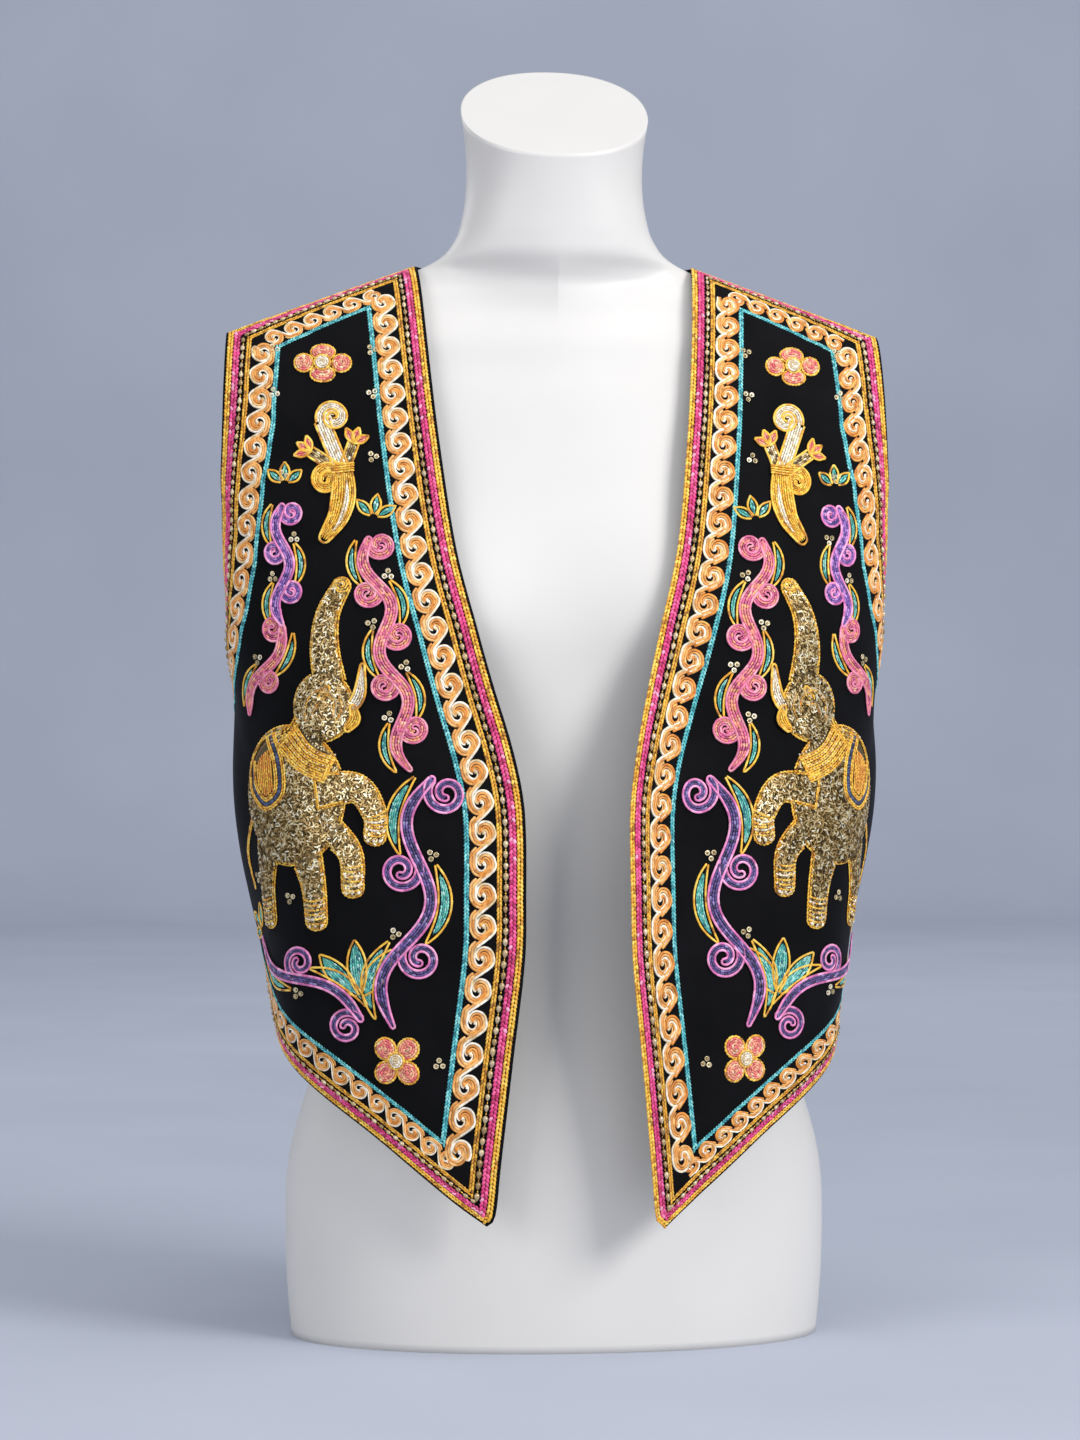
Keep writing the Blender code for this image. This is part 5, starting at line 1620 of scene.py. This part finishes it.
def dress_neck(work, pad):
    """The rows down the back of the neck and the slanted collar."""
    edge = on_pattern(rounded(NECK_EDGE, 8))
    for number in range(NECK_ROWS["count"]):
        rows_of(work, edge, (-NECK_ROWS["from"] - NECK_ROWS["apart"] * number,), lift=pad,
                above=NECK_ROWS["above"], lean=ROW["lean"] * (-1) ** number)
    pair = {"aways": (0.0, ROW["apart"]), "lift": pad, "lean": (ROW["lean"], -ROW["lean"])}
    start, end = np.array(COLLAR_FROM, float), np.array(COLLAR_TO, float)
    for share in np.linspace(0, 1, COLLAR["rows"]):
        first, last = start[0] + share * (start[1] - start[0]), end[0] + share * (end[1] - end[0])
        line = on_pattern(rounded(np.array([first, (first + last) / 2 - COLLAR["sag"], last]), 10))
        rows_of(work, line, above=COLLAR["above"], **pair)
        if share < 1:
            row = offset(line, -COLLAR_BEAD["away"])
            beads = at_lengths(row, np.arange(COLLAR_BEAD["from"], lengths(row)[-1], COLLAR_BEAD["step"]))
            half = (COLLAR_BEAD["half"], 0)
            lift = WALL + pad(beads) + COLLAR_BEAD["lift"]
            work.capsules(beads - half, beads + half, COLLAR_BEAD["wide"], COLLAR_BEAD["tall"], lift,
                          work.pick(SEQUIN_GILT, len(beads)), SEED_RINGS, sides=6)
    for ends in (COLLAR_FROM, COLLAR_TO):
        rows_of(work, on_pattern(rounded(np.array(ends, float), 10)), above=COLLAR["end_above"], **pair)


def dress_saddle(work, pad, blanket):
    """The saddle cloth: an amber field in a navy band between gilt rows."""
    edge = stepped(on_pattern(rounded(CLOTH_EDGE, 8)), 0.001)
    inward = 1 if np.cross(edge[9] - edge[0], blanket.mean(axis=0) - edge[0]) > 0 else -1
    rows_of(work, edge, [inward * away for away in SADDLE_ROWS["away"]], lift=pad, above=SADDLE_ROWS["above"],
            lean=ROW["lean"])
    inner, outer = offset(edge, inward * SADDLE_TEETH["from"]), offset(edge, inward * SADDLE_TEETH["to"])
    marks = np.arange(1, len(edge) - 1)
    work.capsules(inner[marks], outer[marks], SADDLE_TEETH["wide"], SADDLE_TEETH["tall"],
                  WALL + pad(edge[marks]) + SADDLE_TEETH["lift"], work.pick(NAVY, len(marks)), BIT_RINGS)
    work.strand(on_pattern(rounded(CLOTH_TOP, 8)), GOLD, ROW["wide"], lift=pad, above=SADDLE_ROWS["above"],
                lean=ROW["lean"])
    low, high = blanket.min(axis=0), blanket.max(axis=0)
    for number, s in enumerate(np.arange(low[0], high[0], SADDLE_FILL["step"])):
        h = np.arange(low[1], high[1], SADDLE_FILL["points"])
        line = np.stack([np.full(len(h), s) + SADDLE_FILL["slant"] * (h - low[1]) / (high[1] - low[1]), h], 1)
        line = line[inside(line, blanket)]
        if len(line) > 8:
            line = line[distance(line, blanket) > SADDLE_FILL["from_edge"]]
        if len(line) > 6:
            work.strand(line, SADDLE, SADDLE_FILL["wide"], lift=pad, above=SADDLE_FILL["above"],
                        lean=SADDLE_FILL["lean"] * (-1) ** number)


def dress_head(work, pad, trunk):
    """Tusk, lip, eye, the folds of the brow and cheek, and the curl at the trunk's tip."""
    for rows, fill, lift in FACE:
        table = rounded(np.array(rows, float), 6)
        half = table[:, 2] * ELEPHANT["scale"] + FACE_EDGE
        work.band(on_pattern(table), half, fill, GOLD, lift=lift, caps=(1, 1))
    for points in BROW_LINES:
        line = on_pattern(rounded(points, 8))
        for away, palette, wide, above, lean in BROW_ROWS:
            work.strand(offset(line, away), palette, wide, lift=pad, above=above, lean=lean)
    tip = on_pattern(np.array(TRUNK[-1:], float))
    for radius in TIP_CURL["radii"]:
        work.strand(ellipse(tip, 0.0, 0.0, radius, radius), GOLD, ROW["wide"], pitch=TIP_CURL["pitch"],
                    lift=trunk[3], above=TIP_CURL["above"])


# ---------------------------------------------------------------- sprig, flowers and sequins

# A sprig: a bowed horn with stalks that fan out of it, each with a coil at its end or a bud of three petals
HORN = {"root": (148, 56), "mouth": (137, 98), "bow": 5.0, "half_width": 8.0, "narrow": 0.55, "swell": 0.45,
        "swell_turn": 0.8, "points": 20, "lift": 0.0008}
STREAK = {"half_width": 1.8, "aside": 0.5, "short": 2, "lift": 0.0016}
# columns: way, long, half width, fill, coil, coils to
STALKS = (
    (20, 8, 4.6, GOLD, 8.0, -1),
    (68, 36, 5.6, CREAM, 8.0, 1),
    # Stalks filled from the purl palette carry its painted glints and painted shade.
    (110, 20, 4.2, BULLION_GLINTS_AND_SHADE, None, None),
    (32, 25, 4.2, BULLION_GLINTS_AND_SHADE, None, None),
)
STALK = {"points": 8, "lift": 0.0003, "coil_lift": 0.0005}
BUD = {"ways": (-45, 0, 45), "long": 11.0, "half_width": 3.2, "points": 9, "lift": 0.0007}
SPRIG_TIES = {"h": (97.6, 99.2, 100.8, 102.4), "from": 129.6, "to": 144.0, "rise": 1.2, "drop": 0.6,
              "points": 7, "wide": 0.0015, "lift": 0.0019, "lean": 10}

# columns: name, s, h, turn
FLOWERS = (
    ("upper", 0.1500, 0.1708, 0.0),
    ("lower", 0.1060, -0.2605, 45.0),
)
# columns: reach, long, wide
FLOWER_PETALS = {
    "upper": ((0.0122, 0.0068, 0.0068), (0.0076, 0.0060, 0.0084)),
    "lower": ((0.0100, 0.0074, 0.0070), (0.0100, 0.0074, 0.0070)),
}
PETAL = {"height": 0.0016, "tint": linear("C9706A"), "rings": 4, "from": 0.0007, "to": 0.0002,
         "apart": 0.00145, "wide": 0.0017, "pitch": 0.0021, "above": 0.0001, "lean": 10}
FLOWER_HEART = {"radius": 0.0054, "height": 0.0014, "base": 0.0012, "tint": linear("E6D6BA"), "rings": 3,
                "wide": 0.0016, "pitch": 0.0018, "above": 0.0003, "lean": 10}
# columns: radius, palette
HEART_RINGS = ((0.0050, GOLD), (0.0036, CREAM), (0.0022, CREAM), (0.0009, CREAM))

# Threes of sequins stand beside the vines where their bends meet, and at these places
# columns: s, h
SEQUIN_SPOTS = (
    (118, 180), (182, 180), (118, 150), (182, 150), (118, 108), (176, 96), (172, -164), (204, -152),
    (80, -262),
)
BESIDE_VINE = 9.0
SEQUIN = {"radius": 0.00165, "hole": 0.0006, "apart": 0.0023, "sides": 12}
# columns: radius, lift
SEQUIN_RINGS = (
    (SEQUIN["hole"], 0.0004), (SEQUIN["radius"], 0.0009),
    (SEQUIN["radius"], 0.0006), (SEQUIN["hole"], 0.0001),
)
SEED = {"half": 0.0004, "wide": 0.0012, "tall": 0.0011, "lift": 0.0004}


def make_sprig(field, side, seed):
    work = Work(field, seed)
    root, mouth = np.array(HORN["root"], float), np.array(HORN["mouth"], float)
    for way, long, half_width, fill, coil, coils_to in STALKS:
        end = mouth + toward(way) * long
        stalk = mouth + toward(way) * long * np.linspace(0, 1, STALK["points"])[:, None]
        work.band(stalk * MM, half_width * MM, fill, GOLD, lift=STALK["lift"])
        if coil:
            path, half = spiral(end, toward(way), coils_to, coil, half_width)
            work.band(path * MM, half * MM, fill, GOLD, lift=STALK["coil_lift"], caps=(0, 1))
        else:
            make_bud(work, end, way)
    share = np.linspace(0, 1, HORN["points"])
    bow = left_of(unit(mouth - root)) * HORN["bow"]
    horn = root + (mouth - root) * share[:, None] + bow * np.sin(pi * share)[:, None]
    half = HORN["half_width"] * (HORN["narrow"] + HORN["swell"] * np.sin(pi * share * HORN["swell_turn"]))
    work.band(horn * MM, half * MM, GOLD, GOLD, lift=HORN["lift"], caps=(1, 1))
    streak = horn[STREAK["short"]:-STREAK["short"]] + bow * STREAK["aside"]
    half = leaf_half(len(streak), STREAK["half_width"])
    work.band(streak * MM, half * MM, CREAM, None, lift=STREAK["lift"], bare=True)
    for h in SPRIG_TIES["h"]:
        start, end = (SPRIG_TIES["from"], h + SPRIG_TIES["rise"]), (SPRIG_TIES["to"], h - SPRIG_TIES["drop"])
        line = np.linspace(start, end, SPRIG_TIES["points"]) * MM
        work.strand(line, GOLD, SPRIG_TIES["wide"], lift=SPRIG_TIES["lift"], lean=SPRIG_TIES["lean"])
    work.finish("sprig_" + side, GILT, "gold_braid")


def make_bud(work, place, way):
    """Three petals that fan out from a stalk's end."""
    for turn in BUD["ways"]:
        petal = place + toward(way + turn) * BUD["long"] * np.linspace(0, 1, BUD["points"])[:, None]
        half = leaf_half(BUD["points"], BUD["half_width"])
        work.band(petal * MM, half * MM, SALMON, GOLD, lift=BUD["lift"], caps=(0, 1))


def sequin_places():
    """The middles of the threes of sequins, in millimetres."""
    places = list(SEQUIN_SPOTS)
    for vine in VINES:
        path, way, bends = wave(vine)
        for at, outside in bends[1:]:
            places.append(path[at] + left_of(way[at]) * outside * BESIDE_VINE)
    return places


def ellipse(centre, way, reach, long, wide, steps=28):
    angle = np.linspace(0, 2 * pi, steps + 1)
    along, across = reach + long * np.cos(angle), wide * np.sin(angle)
    return centre + np.stack([along * cos(way) - across * sin(way), along * sin(way) + across * cos(way)], 1)


def make_flower(field, name, s, h, turn, side, seed):
    """Four padded petals in rings of thread, round a raised heart."""
    work = Work(field, seed)
    centre = np.array([s, h])
    for quarter in range(4):
        way = radians(turn) + quarter * pi / 2
        reach, long, wide = FLOWER_PETALS[name][quarter % 2]
        outline = ellipse(centre, way, reach, long, wide)[:-1]
        pad = Pad(outline, PETAL["height"])
        add_pad(work, outline, pad, PETAL["tint"], rings=PETAL["rings"])
        insets = np.arange(PETAL["from"], min(long, wide) - PETAL["to"], PETAL["apart"])
        for number, inset in enumerate(insets):
            ring = ellipse(centre, way, reach, long - inset, wide - inset)
            work.strand(ring, PETALS if number else GOLD, PETAL["wide"], pitch=PETAL["pitch"], lift=pad,
                        above=PETAL["above"], lean=PETAL["lean"])
    look = FLOWER_HEART
    rim = ellipse(centre, 0.0, 0.0, look["radius"], look["radius"])[:-1]
    heart = Pad(rim, look["height"], look["base"])
    add_pad(work, rim, heart, look["tint"], rings=look["rings"])
    for radius, palette in HEART_RINGS:
        work.strand(ellipse(centre, 0.0, 0.0, radius, radius), palette, look["wide"], pitch=look["pitch"],
                    lift=heart, above=look["above"], lean=look["lean"])
    work.finish(name + "_flower_threads_" + side, THREAD, "flower_threads", name + "_flower_" + side)


def make_sequins(field, side, seed):
    """Threes of cupped sequins, each held by a seed bead."""
    work = Work(field, seed)
    sides = SEQUIN["sides"]
    centres = []
    for s, h in sequin_places():
        first = work.random.uniform(0, 2 * pi)
        for number in range(3):
            turn = first + number * 2 * pi / 3
            centres.append((s * MM + SEQUIN["apart"] * cos(turn), h * MM + SEQUIN["apart"] * sin(turn)))
    centres = np.array(centres)
    points = []
    for radius, lift in SEQUIN_RINGS:
        for turn in 2 * pi * np.arange(sides) / sides:
            points.append(field.place(centres + radius * np.array([cos(turn), sin(turn)]), WALL + lift)[0])
    near = np.arange(sides)
    after = np.roll(near, -1)
    quads = []
    for ring in range(len(SEQUIN_RINGS)):
        low, high = sides * ring, sides * ((ring + 1) % len(SEQUIN_RINGS))
        quads.append(np.stack([low + near, low + after, high + after, high + near], 1))
    quads = np.concatenate(quads)
    if field.mirror > 0:
        quads = quads[:, ::-1]
    work.add(np.stack(points, 1), np.zeros((0, 3), int), quads, work.pick(SEQUIN_GILT, len(centres)))
    half = (SEED["half"], 0)
    work.capsules(centres - half, centres + half, SEED["wide"], SEED["tall"], WALL + SEED["lift"],
                  work.pick(BEAD, len(centres)), SEED_RINGS, sides=6)
    work.finish("sequins_" + side, GLAZED, "bullion")


# ---------------------------------------------------------------- stage

VIEW_TURN = radians(-5.0)
VIEW_DISTANCE = 2.6
VIEW_LEVEL = 0.384
VIEW_ASIDE = -0.009
LENS = 137.6


def make_camera():
    across = np.array([cos(VIEW_TURN), sin(VIEW_TURN), 0])
    ahead = np.array([-sin(VIEW_TURN), cos(VIEW_TURN), 0])
    data = bpy.data.cameras.new("camera")
    data.lens = LENS
    data.sensor_width = 36
    data.sensor_fit = "HORIZONTAL"
    camera = bpy.data.objects.new("camera", data)
    camera.location = np.array([0, 0, VIEW_LEVEL]) + across * VIEW_ASIDE - ahead * VIEW_DISTANCE
    camera.rotation_euler = (pi / 2, 0, VIEW_TURN)
    bpy.context.scene.collection.objects.link(camera)
    bpy.context.scene.camera = camera


# columns: name, place, aim, size, power
LIGHTS = (
    ("key", (2.0, -2.2, 1.7), (0, 0, 0.45), 1.2, 70),
    ("fill", (-2.2, -2.3, 1.0), (0, 0, 0.40), 1.8, 27),
    ("top", (0.2, -0.6, 2.7), (0, 0, 0.50), 1.6, 20),
    ("rim", (-1.5, 1.7, 1.6), (0, 0, 0.50), 1.2, 8),
    ("backdrop", (0.8, 3.3, 2.8), (0.5, 5.7, 0.3), 3.5, 36),
)


def make_lights():
    for name, place, aim, size, power in LIGHTS:
        data = bpy.data.lights.new(name, "AREA")
        data.size = size
        data.energy = power
        lamp = bpy.data.objects.new(name, data)
        lamp.location = place
        lamp.rotation_euler = (Vector(aim) - Vector(place)).to_track_quat("-Z", "Y").to_euler()
        bpy.context.scene.collection.objects.link(lamp)
    world_light = bpy.data.worlds.new("studio")
    world_light.use_nodes = True
    background = world_light.node_tree.nodes["Background"]
    background.inputs["Color"].default_value = (0.78, 0.84, 0.95, 1)
    background.inputs["Strength"].default_value = 0.45
    bpy.context.scene.world = world_light
    bpy.context.scene.view_settings.view_transform = "Standard"


SWEEP = {"half": 7.0, "floor": (-7.0, -1.0, 2.0), "back": 5.2, "radius": 0.9, "height": 5.0, "steps": 13,
         "columns": 9}


def make_stage():
    """A wide paper floor that sweeps up far behind the form."""
    turn = np.linspace(0, pi / 2, SWEEP["steps"])
    profile = [(y, 0) for y in SWEEP["floor"]]
    profile += list(zip(SWEEP["back"] + SWEEP["radius"] * np.sin(turn), SWEEP["radius"] * (1 - np.cos(turn))))
    profile.append((profile[-1][0], SWEEP["height"]))
    x = np.linspace(-SWEEP["half"], SWEEP["half"], SWEEP["columns"])
    grid = np.stack([np.stack([x, np.full(len(x), y), np.full(len(x), z)], 1) for y, z in profile])
    piece = make_mesh("studio_sweep", grid.reshape(-1, 3), [grid_faces(len(grid), len(x))], PAPER)


# ---------------------------------------------------------------- everything

make_camera()
make_lights()
make_stage()
make_form()
make_back()
for number, (side, mirror, turn, extra) in enumerate(SIDES):
    seed = 100 * (number + 1)
    field = Field(mirror, turn)
    edges = front_edges(extra)
    make_front(side, mirror, turn, extra)
    make_cords(field, edges, side, seed)
    make_scrolls(field, edges, side, seed + 10)
    make_bead_row(field, edges, side, seed + 11)
    make_vines(field, side, seed + 12)
    make_leaves(field, side, seed + 13)
    make_elephant(field, side, seed + 15)
    make_sprig(field, side, seed + 20)
    for flower, s, h, petal_turn in FLOWERS:
        make_flower(field, flower, s, h, petal_turn, side, seed + 21)
    make_sequins(field, side, seed + 22)
